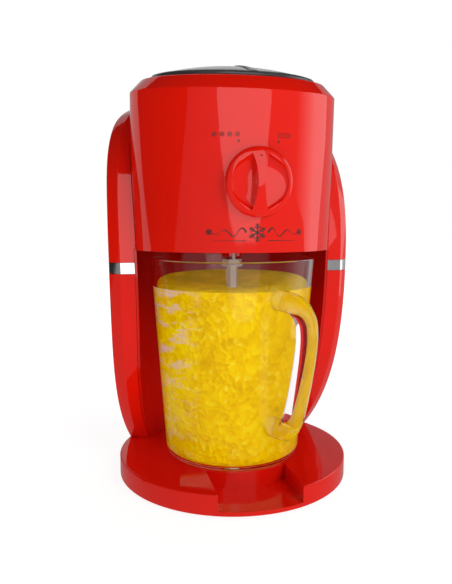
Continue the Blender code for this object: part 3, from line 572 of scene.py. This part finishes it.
def level(outline, z):
    return [(x, y, z) for x, y in outline]


def between(one, other, share):
    return [tuple(a + (b - a) * share for a, b in zip(p, q)) for p, q in zip(one, other)]


def head_front(x, z, lift=0.0):
    """A point on the head's front at this x and height, lifted off the surface."""
    turn = math.asin(x / HEAD_R)
    radius = HEAD_R + lift
    return (radius * math.sin(turn), head_centre_y(z) - radius * math.cos(turn), z)


def recess_radius(z):
    """Radius of the tapering recess behind the pitcher."""
    return RECESS_R - (RECESS_R - RECESS_FOOT_R) * (CEILING_LOW - z) / (CEILING_LOW - BASE_TOP)


def crown_rise(radius):
    """Height of the lid's dome above its seat."""
    edge = 0.0028
    return edge + (LID_RISE - edge) * (1 - (radius / LID_R) ** 2)


def pitcher_radius(z):
    """Outer radius of the pitcher's tapering wall."""
    t = (z - PITCHER_FOOT_Z) / (PITCHER_RIM_Z - PITCHER_FOOT_Z)
    return PITCHER_FOOT_R + (PITCHER_RIM_R - PITCHER_FOOT_R) * t


# ------------------------ carried-over CAD nodes
def dress_nodes():
    """Give every CAD node its material, and round the edges of the ones listed here."""
    slots = {row["node"]: row["material_slot"] for row in frame["record"]["subparts"]}
    for name, node in NODES.items():
        paint(node, BY_SLOT[slots[name]])
    for name in ("paddle_collar", "paddle_shaft", "output_coupling", "stirring_blades", "ice_chute",
                 "gearbox_plate", "switch_body"):
        round_edges(NODES[name], 0.0003, 2, 40)


# ------------------------ base and housing
def hollow_loop(plan_z, z):
    """The housing's inner outline for one height, placed at another."""
    return level(inset(housing_plan(plan_z, 49), WALL), z)


def housing_wall(name, levels, closed=False):
    """The housing's wall between two heights; closed keeps a roof that thickens towards the top."""
    past = 0.001
    roof_z = 0.330
    roof_span = 0.030
    item = loft(name, [housing_loop(z) for z in levels], low_cap=True, high_cap=True)
    inside = [hollow_loop(levels[0], levels[0] - past)]
    for z in levels:
        drop = WALL * min(1.0, max(0.0, (z - roof_z) / roof_span)) if closed else 0.0
        inside.append(hollow_loop(z, z - drop))
    if not closed:
        inside.append(hollow_loop(levels[-1], levels[-1] + past))
    combine(item, [loft("inside", inside, low_cap=True, high_cap=True)])
    return item


def slot_outline(half, radius):
    """Plan of the slot in front of the pitcher: an arc at its back, running out past the base's edge."""
    reach = BASE_R + 0.012
    swing = math.asin(half / radius)
    back = arc((0.0, 0.0), radius, -math.pi / 2 + swing, -math.pi / 2 - swing, 49)
    return [(half, -reach), *back, (-half, -reach)]


def build_base():
    """The hollow round base, with the slot sunk into its front."""
    edge = 0.0014
    foot_bevel = 0.0006
    margin = 0.012
    slot_skin = 0.0018
    corner = [(BASE_R - edge + edge * math.sin(t), BASE_TOP - edge + edge * math.cos(t))
              for t in bend_steps(90, 6)]
    profile = [(0.0, BASE_TOP), (BASE_R - margin, BASE_TOP), *corner, (BASE_R, BASE_LOW + foot_bevel),
               (BASE_R - foot_bevel, BASE_LOW), (0.0, BASE_LOW)]
    base = spun("base_shell_look", profile, RED, steps=192)
    slot = prism("slot", slot_outline(SLOT_HALF, SLOT_ARC_R), SLOT_FLOOR, 0.04)
    hollow = spun("hollow", [(0.0, BASE_TOP - WALL), (BASE_R - WALL, BASE_TOP - WALL),
                             (BASE_R - WALL, -0.01), (0.0, -0.01)], steps=96)
    kept = prism("kept", slot_outline(SLOT_HALF + WALL, SLOT_ARC_R - WALL), SLOT_FLOOR - slot_skin, 0.05)
    combine(hollow, [kept])
    combine(base, [slot, hollow])
    finish_piece(base, "machine", "red_plastic", "base_shell", angle=30)


def recess():
    """A cutter for the recess and the liner that lines it."""
    ease = LINER_WALL + GAP
    high = CEILING_LOW + 0.0001
    return spun("recess", [(0.0, high), (recess_radius(high) + ease, high),
                           (recess_radius(0.0) + ease, 0.0), (0.0, 0.0)], steps=192)


def build_housing():
    """The lower housing, the bright band above it and the upper housing with its roof."""
    foot = BASE_TOP + GAP
    span = BAND_LOW - GAP - foot
    lower = housing_wall("lower_housing_look", [foot + span * i / 20 for i in range(21)])
    combine(lower, [recess()])
    paint(lower, RED)
    finish_piece(lower, "machine", "red_plastic", "lower_housing")

    band = housing_wall("trim_band_look", [BAND_LOW + (BAND_TOP - BAND_LOW) * i / 2 for i in range(3)])
    combine(band, [recess()])
    paint(band, CHROME)
    finish_piece(band, "machine", "chrome_plastic", "trim_band")

    first = BAND_TOP + GAP
    rise = [first + (SHOULDER_Z - first) * i / 18 for i in range(19)]
    height = HOUSING_TOP - SHOULDER_Z
    crown = [SHOULDER_Z + height * math.sin(t) for t in bend_steps(90, 12)[1:]]
    upper = housing_wall("upper_housing_look", rise + crown, closed=True)
    combine(upper, [recess(), head_cutter(), vent_room(0.0)])
    paint(upper, RED)
    finish_piece(upper, "machine", "red_plastic", "upper_housing")


def head_cutter():
    """The head's own shape with a little play, to cut its room out of the housing."""
    ease = 0.0004
    low = HEAD_LOW - 0.001
    high = HEAD_RIM_Z + 0.01
    foot = head_outline(HEAD_R + ease, head_centre_y(low))
    top = head_outline(HEAD_R + ease, head_centre_y(high))
    return loft("head_room", [level(foot, low), sloped(top, high)], low_cap=True, high_cap=True)


def vent_room(ease):
    """A block through the housing's back where the rear cover sits, smaller by the ease all round."""
    half = VENT_HALF - ease
    return block("room", (-half, 0.09, VENT_LOW + ease), (half, 0.14, VENT_TOP - ease))


def build_rear_cover():
    """The louvred panel in the housing's back, cut from the same wall."""
    margin = 0.01
    slit_half = 0.0225
    slit_low = 0.0163
    slit_high = 0.0198
    pitch = 0.0095
    span = VENT_TOP - VENT_LOW + 2 * margin
    cover = housing_wall("rear_cover_look", [VENT_LOW - margin + span * i / 12 for i in range(13)])
    slits = [block("slit", (-slit_half, 0.085, VENT_LOW + slit_low + i * pitch),
                   (slit_half, 0.15, VENT_LOW + slit_high + i * pitch)) for i in range(6)]
    combine(cover, slits)
    combine(cover, [vent_room(0.0004)], "INTERSECT")
    paint(cover, RED)
    finish_piece(cover, "machine", "red_plastic", "rear_cover")


def build_liner():
    """The concave wall behind the pitcher, trimmed to the housing's outline."""
    low = BASE_TOP + GAP
    high = CEILING_LOW - GAP
    liner = spun("recess_liner_look", [(RECESS_R, high), (RECESS_R + LINER_WALL, high),
                                       (RECESS_FOOT_R + LINER_WALL, low), (RECESS_FOOT_R, low)],
                 steps=192, ring=True)
    past = 0.001
    heights = [BASE_TOP - past + (CEILING_LOW + 2 * past - BASE_TOP) * i / 24 for i in range(25)]
    room = loft("room", [housing_loop(z) for z in heights], low_cap=True, high_cap=True)
    combine(liner, [room], "INTERSECT")
    # painted shade: the liner takes the darker copy of the red, for the shade in the recess
    paint(liner, SHADED_RED)
    finish_piece(liner, "machine", "dark_red_plastic", "recess_liner")


# ------------------------ head
def build_head():
    """The leaning drum with its chamfered rim, open at the back, and the pad that the knob turns on."""
    lid_play = 0.0008
    low = level(head_outline(HEAD_R, HEAD_Y_LOW), HEAD_LOW)
    rim = sloped(head_outline(HEAD_R, HEAD_Y_TOP), HEAD_RIM_Z)
    chamfer = sloped(head_outline(HEAD_R - CHAMFER_IN, HEAD_Y_TOP), HEAD_RIM_Z + CHAMFER_UP)
    seat = sloped(head_outline(LID_R + lid_play, 0.0), HEAD_RIM_Z + SEAT_RISE)
    mouth = sloped(head_outline(MOUTH_R, 0.0), HEAD_RIM_Z + SEAT_RISE)
    wall = [between(low, rim, i / 12) for i in range(12)]
    rim_corner = soft_corner(low, rim, chamfer, 0.0009)
    top_corner = soft_corner(rim, chamfer, seat, 0.0012)
    head = loft("head_shell_look", [*wall, *rim_corner, *top_corner, seat, mouth])
    thicken(head, WALL)
    settle(head)
    bay_half = 0.056
    skirt_front = -0.0125
    past = 0.12
    bay = block("bay", (-bay_half, 0.0, 0.10), (bay_half, past, VENT_TOP))
    skirt = block("skirt", (-past, skirt_front, 0.10), (past, past, CEILING_TOP + 0.0005))
    combine(head, [bay, skirt])
    pad_r = KNOB_R - 0.0014
    pad_top = KNOB_LIFT - 0.0004
    pad_foot = -0.0052
    pad = spun("pad", [(0.0, pad_top), (pad_r, pad_top), (pad_r, pad_foot), (0.0, pad_foot)], steps=96)
    combine(head, [along_knob(pad)], "UNION")
    paint(head, RED)
    finish_piece(head, "machine", "red_plastic", "head_shell", angle=30)


def lid_ring(name, rings):
    """A ring or dome on the lid's sloping seat, from (radius, rise) points round its section."""
    loops = [sloped(ellipse(radius, radius, 160), HEAD_RIM_Z + SEAT_RISE + rise) for radius, rise in rings]
    return loft(name, loops, ring=True)


def lid_rib(inner):
    """The rib that crosses the window from front to back, wider where it meets the ring."""
    height = 0.0008
    foot = 0.0001
    bevel = 0.0003
    rows = []
    for i in range(33):
        y = (inner + 0.0015) * (i / 16 - 1)
        seat = HEAD_RIM_Z + SEAT_RISE + TOP_SLOPE * (y + HEAD_R - HEAD_Y_TOP)
        high = seat + crown_rise(abs(y)) + height
        low = seat + crown_rise(abs(y)) + foot
        half = 0.0021 + 0.0012 * (abs(y) / inner) ** 4
        flat = half - 0.0004
        rows.append([(-half, y, low), (half, y, low), (half, y, high - bevel), (flat, y, high),
                     (-flat, y, high), (-half, y, high - bevel)])
    return loft("rib", rows, low_cap=True, high_cap=True)


def lid_hub():
    """The small disc at the middle of the rib."""
    hub_r = 0.0075
    top = crown_rise(0.0)
    rings = [(hub_r, top + 0.0001), (hub_r, top + 0.0008), (hub_r - 0.0005, top + 0.0011)]
    loops = [sloped(ellipse(r, r, 64), HEAD_RIM_Z + SEAT_RISE + rise) for r, rise in rings]
    return loft("hub", loops, low_cap=True, high_cap=True)


def build_lid():
    """The dark ring with its rib and hub, and the window inside it."""
    inner = LID_R - 0.0046
    crest = LID_R - 0.0012
    arch = [inner + (crest - inner) * i / 6 for i in range(7)]
    # up the outer edge, over the arch and down to the lip inside
    rings = [(LID_R - 0.0005, GAP), (LID_R, GAP + 0.0005), (LID_R, 0.0020), (LID_R - 0.0004, 0.0027),
             *((r, crown_rise(r) + 0.0004) for r in arch[::-1]),
             (inner - 0.0002, crown_rise(inner)), (inner - 0.0002, 0.0046), (MOUTH_R - 0.0067, 0.0035)]
    ring = lid_ring("lid_frame_look", rings)
    combine(ring, [lid_rib(inner)], "UNION")
    combine(ring, [lid_hub()], "UNION")
    paint(ring, CHARCOAL)
    finish_piece(ring, "lid", "charcoal_plastic", "lid_frame")
    build_lid_window(inner - 0.0006)


def build_lid_window(edge):
    """The smoked dome, a shell of even thickness out to this radius."""
    wall = 0.0016
    foot = 0.0030
    shares = [1.0 - i / 14 for i in range(14)]
    outer = [(edge * q, crown_rise(edge * q) - 0.0001) for q in shares]
    under = [(max(r - wall, 0.003), rise - wall) for r, rise in outer[::-1]]
    rings = [(edge - 0.0002, foot), *outer, *under, (edge - wall, foot)]
    window = lid_ring("lid_window_look", rings)
    paint(window, SMOKE)
    finish_piece(window, "lid", "smoked_plastic", "lid_window")


# ------------------------ knob
def knob_pocket(radius, reach, waist, bow, side, floor, rim):
    """A bowl beside the knob's grip bar: a steep wall at the bar, curving up to the rim."""
    rows = 41
    columns = 16
    reach -= 0.0003
    loops = []
    for j in range(rows):
        along = 2 * j / (rows - 1) - 1
        y = reach * along
        near = waist + bow - math.sqrt(bow ** 2 - y ** 2)
        far = math.sqrt(radius ** 2 - y ** 2)
        low = []
        high = []
        for i in range(columns + 1):
            share = i / columns
            out = min(1.0, math.sqrt((0.96 * share) ** 2 + along ** 4))
            x = near + (far - near) * share
            low.append((side * x, y, floor + (rim - floor) * (1 - math.sqrt(1 - out ** 2))))
            high.append((side * x, y, rim + 0.02))
        loops.append(low + high[::-1])
    if side > 0:
        loops.reverse()
    return loft("pocket", loops, low_cap=True, high_cap=True)


def build_knob():
    """The domed knob: a grip bar with a narrow waist is left between two pockets."""
    base = KNOB_LIFT
    top = base + KNOB_DEPTH
    dome = [(KNOB_DOME_R * i / 10, top - KNOB_DOME_DROP * (i / 10) ** 2) for i in range(11)]
    edge = [(0.0273, top - 0.0061), (0.0281, top - 0.0069), (0.0287, top - 0.0079), (KNOB_R, top - 0.0089)]
    profile = [*dome, *edge, (KNOB_R - 0.0003, base + 0.0003), (KNOB_R - 0.0008, base), (0.0, base)]
    knob = spun("knob_look", profile, RED, steps=144)
    pocket_r = 0.0242
    swing = math.radians(73)
    waist = 0.0029
    rise = pocket_r * math.sin(swing)
    flare = pocket_r * math.cos(swing) - waist
    bow = (rise ** 2 + flare ** 2) / (2 * flare)
    floor = base + 0.0008
    rim = top - 0.0047
    combine(knob, [knob_pocket(pocket_r, rise, waist, bow, side, floor, rim) for side in (-1, 1)])
    along_knob(knob)
    paint(knob, RED)
    finish_piece(knob, "control", "red_plastic", "knob", angle=35, bevel=0.0005, segments=3)
    build_pointer(top)


def build_pointer(top):
    """The printed dot near the knob's edge, laid on its dome."""
    place = 0.0212
    drop = KNOB_DOME_DROP * (place / KNOB_DOME_R) ** 2
    tilt = -2 * KNOB_DOME_DROP * place / KNOB_DOME_R ** 2
    thick = 0.00012
    profile = [(0.0, thick), (0.0007, thick), (0.0008, 0.0), (0.0, 0.0)]
    dot = spun("knob_pointer", profile, INK, steps=24)
    dot.matrix_world = Matrix.Translation((0, place, top - drop)) @ Matrix.Rotation(tilt, 4, "X")
    settle(dot)
    along_knob(dot)
    finish_piece(dot, "control", None)


# ------------------------ printed marks
def print_marks(name, shapes, material):
    """Thin printed shapes on the head's front, each in rows with a left and a right (x, z) point."""
    points = []
    faces = []
    lift = 0.00006
    for rows in shapes:
        for i, (left, right) in enumerate(rows):
            points += [head_front(*left, lift), head_front(*right, lift)]
            if i:
                k = len(points)
                faces.append((k - 4, k - 3, k - 1, k - 2))
    item = piece(name, points, faces, material)
    built = bmesh.new()
    built.from_mesh(item.data)
    for face in built.faces:
        face.normal_update()
        if face.normal.y > 0:
            face.normal_flip()
    built.to_mesh(item.data)
    built.free()
    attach(item, "machine")


def stroke(start, end, width, tip=None, count=8):
    """A straight printed line, cut into short lengths so that it follows the head."""
    tip = width if tip is None else tip
    along = Vector(end) - Vector(start)
    across = Vector((-along.y, along.x)).normalized()
    rows = []
    for i in range(count + 1):
        share = i / count
        half = (width + (tip - width) * share) / 2
        here = Vector(start) + along * share
        rows.append((tuple(here - across * half), tuple(here + across * half)))
    return rows


def dot_mark(x, z, radius, sides=16):
    """A round printed dot."""
    rows = []
    for i in range(sides // 2 + 1):
        turn = math.pi * i / (sides // 2)
        high = radius * math.cos(turn)
        half = radius * math.sin(turn)
        rows.append(((x - half, z + high), (x + half, z + high)))
    return rows


def snow_star(x, z, reach, width):
    """A six-armed snow crystal with two pairs of twigs on each arm."""
    shapes = []
    middle = Vector((x, z))
    for i in range(6):
        turn = math.radians(90 + 60 * i)
        ahead = Vector((math.cos(turn), math.sin(turn)))
        shapes.append(stroke(tuple(middle), tuple(middle + ahead * reach), width, count=4))
        for share, length in ((0.45, 0.36), (0.72, 0.24)):
            root = middle + ahead * reach * share
            for side in (-1, 1):
                branch = turn + side * math.radians(55)
                twig = Vector((math.cos(branch), math.sin(branch)))
                shapes.append(stroke(tuple(root), tuple(root + twig * reach * length), width * 0.8, count=2))
    return shapes


def flourish(start, length, z, height, width, waves):
    """A wavy printed line that swells in its middle and dies away along its length."""
    rows = []
    count = 60
    for i in range(count + 1):
        share = i / count
        swing = 2 * math.pi * waves * share
        tall = height * (1 - 0.75 * share)
        x = start + length * share
        slope = Vector((length, tall * 2 * math.pi * waves * math.cos(swing))).normalized()
        half = width / 2 * (0.25 + 0.75 * abs(math.cos(swing / 2))) * (1 - 0.6 * share)
        across = Vector((-slope.y, slope.x)) * half
        here = Vector((x, z + tall * math.sin(swing)))
        rows.append((tuple(here - across), tuple(here + across)))
    return rows


def build_marks():
    """The ornament low on the head, and a dot and a mark for each of the knob's two settings."""
    z = 0.2385
    start = 0.0095
    line_z = z - 0.0068
    shapes = snow_star(0.0, z, 0.0078, 0.0011)
    for side in (-1, 1):
        line = ((side * start, line_z), (side * 0.0360, line_z))
        shapes.append(flourish(side * start, side * 0.0290, z, 0.0042, 0.0015, 2.0))
        shapes.append(stroke(*line, 0.0007, 0.0002, count=20))
        shapes += snow_star(side * 0.0395, z + 0.0005, 0.0027, 0.0006)
    print_marks("head_ornament", shapes, INK)
    print_marks("setting_dots", [dot_mark(side * 0.0169, 0.3127, 0.0009) for side in (-1, 1)], INK)
    coarse = [shape for i in range(4) for shape in snow_star(-0.0362 + i * 0.0061, 0.3180, 0.0023, 0.00035)]
    print_marks("coarse_mark", coarse, FAINT_INK)
    fine = [dot_mark(0.0170 + i * 0.0021, 0.3164 + j * 0.0016, 0.0006, 10)
            for i in range(6) for j in range(3)]
    print_marks("fine_mark", fine, FAINT_INK)


# ------------------------ pitcher
def build_pitcher():
    """The clear tapered pitcher, turned from one closed profile, with its handle and contents."""
    foot = PITCHER_FOOT_Z
    rim = PITCHER_RIM_Z
    wall = PITCHER_WALL
    floor = foot + 0.003
    bend = 0.0045
    outer_foot = [(pitcher_radius(foot + bend) - bend + bend * math.sin(t), foot + bend - bend * math.cos(t))
                  for t in bend_steps(90, 8)]
    inner_bend = 0.003
    inner_foot = [(pitcher_radius(floor + inner_bend) - wall - inner_bend + inner_bend * math.sin(t),
                   floor + inner_bend - inner_bend * math.cos(t))
                  for t in bend_steps(90, 6)]
    lip = wall / 2
    middle = PITCHER_RIM_R - lip
    rim_round = [(middle - lip * math.cos(t), rim - lip + lip * math.sin(t))
                 for t in bend_steps(180, 8)]
    pin_top = 0.0315
    profile = [(0.0, pin_top), (0.0022, pin_top - 0.001), (0.0030, floor + 0.0005), (0.0060, floor),
               *inner_foot, *rim_round, *outer_foot[::-1], (0.0, foot)]
    item = spun("pitcher_look", profile, CLEAR, steps=160)
    finish_piece(item, "pitcher", "clear_plastic", "pitcher")
    item.visible_glossy = False
    build_handle()
    build_slush()


def smoothed(points, count):
    """A smooth curve through the points (Catmull-Rom), in count steps from one to the next."""
    line = [Vector(p) for p in points]
    smooth = []
    for i in range(len(line) - 1):
        p0, p1 = line[max(0, i - 1)], line[i]
        p2, p3 = line[i + 1], line[min(len(line) - 1, i + 2)]
        for k in range(count):
            t = k / count
            smooth.append(0.5 * ((2 * p1) + (p2 - p0) * t + (2 * p0 - 5 * p1 + 4 * p2 - p3) * t * t
                                 + (3 * p1 - p0 - 3 * p2 + p3) * t ** 3))
    smooth.append(line[-1])
    return smooth


def build_handle():
    """A round bar along a route of (distance from the pitcher's axis, height)."""
    bite = 0.0004
    core_top = 0.25
    smooth = smoothed([(0.070, 0.1790), (0.092, 0.1785), (0.106, 0.1750), (0.1145, 0.1660),
                       (0.1165, 0.1530), (0.1145, 0.1350), (0.1095, 0.1120), (0.1035, 0.0900),
                       (0.0975, 0.0740), (0.0885, 0.0645), (0.066, 0.0620)], 6)
    out = Vector((math.sin(HANDLE_AZIMUTH), -math.cos(HANDLE_AZIMUTH), 0.0))
    side = Vector((math.cos(HANDLE_AZIMUTH), math.sin(HANDLE_AZIMUTH), 0.0))
    loops = []
    for i, point in enumerate(smooth):
        along = smooth[min(i + 1, len(smooth) - 1)] - smooth[max(i - 1, 0)]
        along.normalize()
        normal = out * -along.y + Vector((0, 0, 1)) * along.x
        centre = out * point.x + Vector((0, 0, point.y))
        loops.append([tuple(centre + side * (HANDLE_R * math.cos(t)) + normal * (HANDLE_R * math.sin(t)))
                      for t in (2 * math.pi * k / 32 for k in range(32))])
    handle = loft("pitcher_handle_look", loops, low_cap=True, high_cap=True)
    core = spun("core", [(0.0, core_top), (pitcher_radius(core_top) - bite, core_top),
                         (pitcher_radius(0.0) - bite, 0.0), (0.0, 0.0)], steps=128)
    combine(handle, [core])
    paint(handle, HANDLE)
    finish_piece(handle, "pitcher", "clear_plastic", "pitcher_handle", angle=40)


def build_slush():
    """Shaved ice and syrup that fills the pitcher; its sides bite slightly into the clear wall."""
    around = 256
    up = 120
    rings = 40
    round_rows = 4
    bite = 0.0005
    foot_round = 0.003
    pit = 0.0009
    hollow = 0.0065
    lumps = 0.0011
    low = PITCHER_FOOT_Z + 0.0028
    turns = [2 * math.pi * i / around for i in range(around)]
    loops = []
    for k in range(up + 1):
        z = low + (SLUSH_TOP - low) * k / up
        loop = []
        for t in turns:
            radius = pitcher_radius(z) - PITCHER_WALL + bite
            if k < round_rows:
                radius -= foot_round * (1 - math.sin(math.radians(90) * k / round_rows))
            point = Vector((radius * math.cos(t), radius * math.sin(t), z))
            dip = noise.fractal(point * 110.0, 0.9, 2.0, 3)
            radius -= pit * max(0.0, dip - 0.25)
            loop.append((radius * math.cos(t), radius * math.sin(t), z))
        loops.append(loop)
    for k in range(1, rings):
        share = 1 - k / rings
        loop = []
        for t in turns:
            radius = (pitcher_radius(SLUSH_TOP) - PITCHER_WALL + bite) * share
            x, y = radius * math.cos(t), radius * math.sin(t)
            lump = noise.fractal(Vector((x, y, 0.3)) * 70.0, 0.8, 2.0, 4)
            z = SLUSH_TOP - hollow * (1 - share ** 1.6) + lumps * lump * min(1.0, 5 * (1 - share))
            loop.append((x, y, z))
        loops.append(loop)
    slush = loft("slush", loops, SLUSH, low_cap=True, high_cap=True)
    finish_piece(slush, "pitcher", None, angle=60)
    slush.visible_shadow = False
    slush.visible_diffuse = False
    slush.visible_glossy = False


# ------------------------ studio
AIM = Vector((0.0, -0.08, 0.28))


def build_floor():
    """A pale floor that brightens to white beyond the machine's surroundings."""
    size = 6.0
    fade = (0.88, 1.05)
    floor = piece("floor", [(-size, -size, 0), (size, -size, 0), (size, size, 0), (-size, size, 0)],
                  [(0, 1, 2, 3)], None)
    made, tree, shader = new_material("floor_white")
    cloud = noise_value(tree, 3.0)
    tint(tree, shader, cloud, (0.25, 0.25, 0.25), (0.27, 0.27, 0.27))
    put(shader, {"Roughness": 0.6, "Specular IOR Level": 0.2, "Emission Color": (1.0, 1.0, 1.0, 1.0)})
    coords = add(tree, "ShaderNodeTexCoord")
    far = add(tree, "ShaderNodeVectorMath", operation="LENGTH")
    tree.links.new(coords.outputs["Object"], far.inputs[0])
    tree.links.new(spread(tree, far.outputs["Value"], *fade, (0.15, 0.7)), shader.inputs["Emission Strength"])
    paint(floor, made)
    floor.visible_glossy = False


def build_world():
    """White surroundings whose strength depends on the kind of ray that meets them."""
    faint = 0.02
    world = bpy.data.worlds.new("studio")
    bpy.context.scene.world = world
    world.use_nodes = True
    tree = world.node_tree
    back = tree.nodes["Background"]
    back.inputs["Color"].default_value = (1.0, 1.0, 1.0, 1.0)
    path = add(tree, "ShaderNodeLightPath")
    total = None
    for ray, share in (("Is Camera Ray", 0.99), ("Is Diffuse Ray", 0.25), ("Is Transmission Ray", 0.6)):
        step = add(tree, "ShaderNodeMath", operation="MULTIPLY_ADD")
        tree.links.new(path.outputs[ray], step.inputs[0])
        step.inputs[1].default_value = share
        step.inputs[2].default_value = faint
        if total:
            tree.links.new(total, step.inputs[2])
        total = step.outputs["Value"]
    tree.links.new(total, back.inputs["Strength"])


def toward(azimuth, elevation, distance):
    """The point at this azimuth (0 is -Y, 90 is +X) and elevation, this far from the head's face."""
    a, e = math.radians(azimuth), math.radians(elevation)
    return AIM + Vector((math.sin(a) * math.cos(e), -math.cos(a) * math.cos(e), math.sin(e))) * distance


def panel(name, columns, distance):
    """A light panel through columns of (azimuth, low and high elevation, radiance), seen only in gloss."""
    fine = []
    for here, after in zip(columns, columns[1:]):
        count = max(1, math.ceil(abs(after[0] - here[0]) / 4))
        fine += [[p + (q - p) * i / count for p, q in zip(here, after)] for i in range(count)]
    fine.append(columns[-1])
    rows = 12
    points = []
    faces = []
    glows = []
    for i, (azimuth, low, high, radiance) in enumerate(fine):
        points += [toward(azimuth, low + (high - low) * j / rows, distance) for j in range(rows + 1)]
        glows += [radiance] * (rows + 1)
        if i:
            k = i * (rows + 1)
            faces += [(k + j - rows - 1, k + j, k + j + 1, k + j - rows) for j in range(rows)]
    item = piece(name, points, faces, None)
    values = item.data.attributes.new("radiance", "FLOAT", "POINT")
    values.data.foreach_set("value", glows)
    made, tree, shader = new_material(name)
    tree.nodes.remove(shader)
    glow = add(tree, "ShaderNodeEmission")
    read = add(tree, "ShaderNodeAttribute", attribute_name="radiance")
    tree.links.new(read.outputs["Fac"], glow.inputs["Strength"])
    tree.links.new(glow.outputs["Emission"], tree.nodes["Material Output"].inputs["Surface"])
    paint(item, made)
    item.visible_camera = False
    item.visible_shadow = False
    item.visible_diffuse = False


def softbox(name, azimuth, elevation, distance, width, height, strength):
    """A soft lamp that shapes the form but isn't mirrored in the gloss."""
    light = bpy.data.lights.new(name, "AREA")
    light.shape = "RECTANGLE"
    light.size = width
    light.size_y = height
    light.energy = strength * width * height * math.pi
    lamp = placed(name, light)
    centre = toward(azimuth, elevation, distance)
    aim = (AIM - centre).to_track_quat("-Z", "Y").to_matrix().to_4x4()
    lamp.matrix_world = Matrix.Translation(centre) @ aim
    lamp.visible_camera = False
    lamp.visible_glossy = False
    lamp.visible_transmission = False


def build_lights():
    """Panels as (azimuth, low and high elevation, radiance) columns, and one soft lamp."""
    front_high = 45
    right_high = 32
    white = 1.7
    edge = [(-29.5, 6.3), (-25.7, 1.9), (-14.9, -5.9), (-7.7, -8.5), (14.5, -8.4), (19.5, -5.9),
            (25.3, 1.3), (28.7, 6.2)]
    panel("main_panel", [(azimuth, low, front_high, white) for azimuth, low in edge], 5.0)
    panel("soft_front", [(-80, -20, -8, 0.26), (-62.1, -20, 7, 0.26), (-62, -20, front_high, 0.26),
                         (-30, -20, front_high, 0.32), (62, -20, front_high, 0.32)], 5.4)
    edge = [(62, -2, 0.35), (76, -4, 1.2), (84, -12, 1.6), (89, -12, 1.8), (103.7, -12, 1.3),
            (103.8, -3.8, 1.3), (107.1, 0.2, 1.2), (113.8, 6.3, 1.1)]
    panel("right_panel", [(azimuth, low, right_high, glow) for azimuth, low, glow in edge], 5.0)
    edge = [(103.8, 0.45), (113.8, 0.34), (138, 0.30), (150, 0.28), (175, 0.2)]
    panel("right_edge", [(azimuth, -12, right_high, glow) for azimuth, glow in edge], 5.4)
    panel("left_panel", [(-200, 12, 50, 0.6), (-180, 10, 50, 0.6), (-167, 8.6, 42, 0.38),
                         (-158, 7, 42, 0.42), (-150, 5.4, 34, 0.42), (-140, 2.9, 30, 0.45),
                         (-139.8, 2.9, 10.8, 0.45), (-136.5, 2.1, 8.6, 0.45), (-133, -1.8, 5.6, 0.5),
                         (-130, -5, 3.5, 0.5), (-122.6, -8, -0.7, 0.55), (-115.8, -8, -4, 0.6),
                         (-112, -8, -6, 0.6)], 5.0)
    panel("low_ring", [(-95, -75, -20, 0.3), (-80, -75, -8, 0.3), (-62, -75, -2, 0.3), (210, -75, -2, 0.3),
                       (250, -75, -22, 0.3), (265, -75, -20, 0.3)], 5.6)
    softbox("key", 28, 30, 1.7, 1.0, 1.0, 4.2)


def build_camera():
    """The photograph's viewing angle: from in front, a little to the left (-X) and above."""
    sensor = 36.0
    yaw = math.radians(13.2)
    pitch = math.radians(6.55)
    side, back, height = -0.00597, -0.589, 0.2464
    data = bpy.data.cameras.new("camera")
    data.sensor_fit = "AUTO"
    data.sensor_width = sensor
    data.lens = sensor * 600.0 / 584.0
    data.clip_start = 0.01
    camera = placed("camera", data)
    x = side * math.cos(yaw) + back * math.sin(yaw)
    y = -side * math.sin(yaw) + back * math.cos(yaw)
    camera.location = (x, y, height)
    camera.rotation_euler = (math.pi / 2 - pitch, 0.0, -yaw)
    bpy.context.scene.camera = camera


bpy.context.scene.view_settings.view_transform = "Standard"
dress_nodes()
build_base()
build_housing()
build_rear_cover()
build_liner()
build_head()
build_lid()
build_knob()
build_marks()
build_pitcher()
build_floor()
build_world()
build_lights()
build_camera()
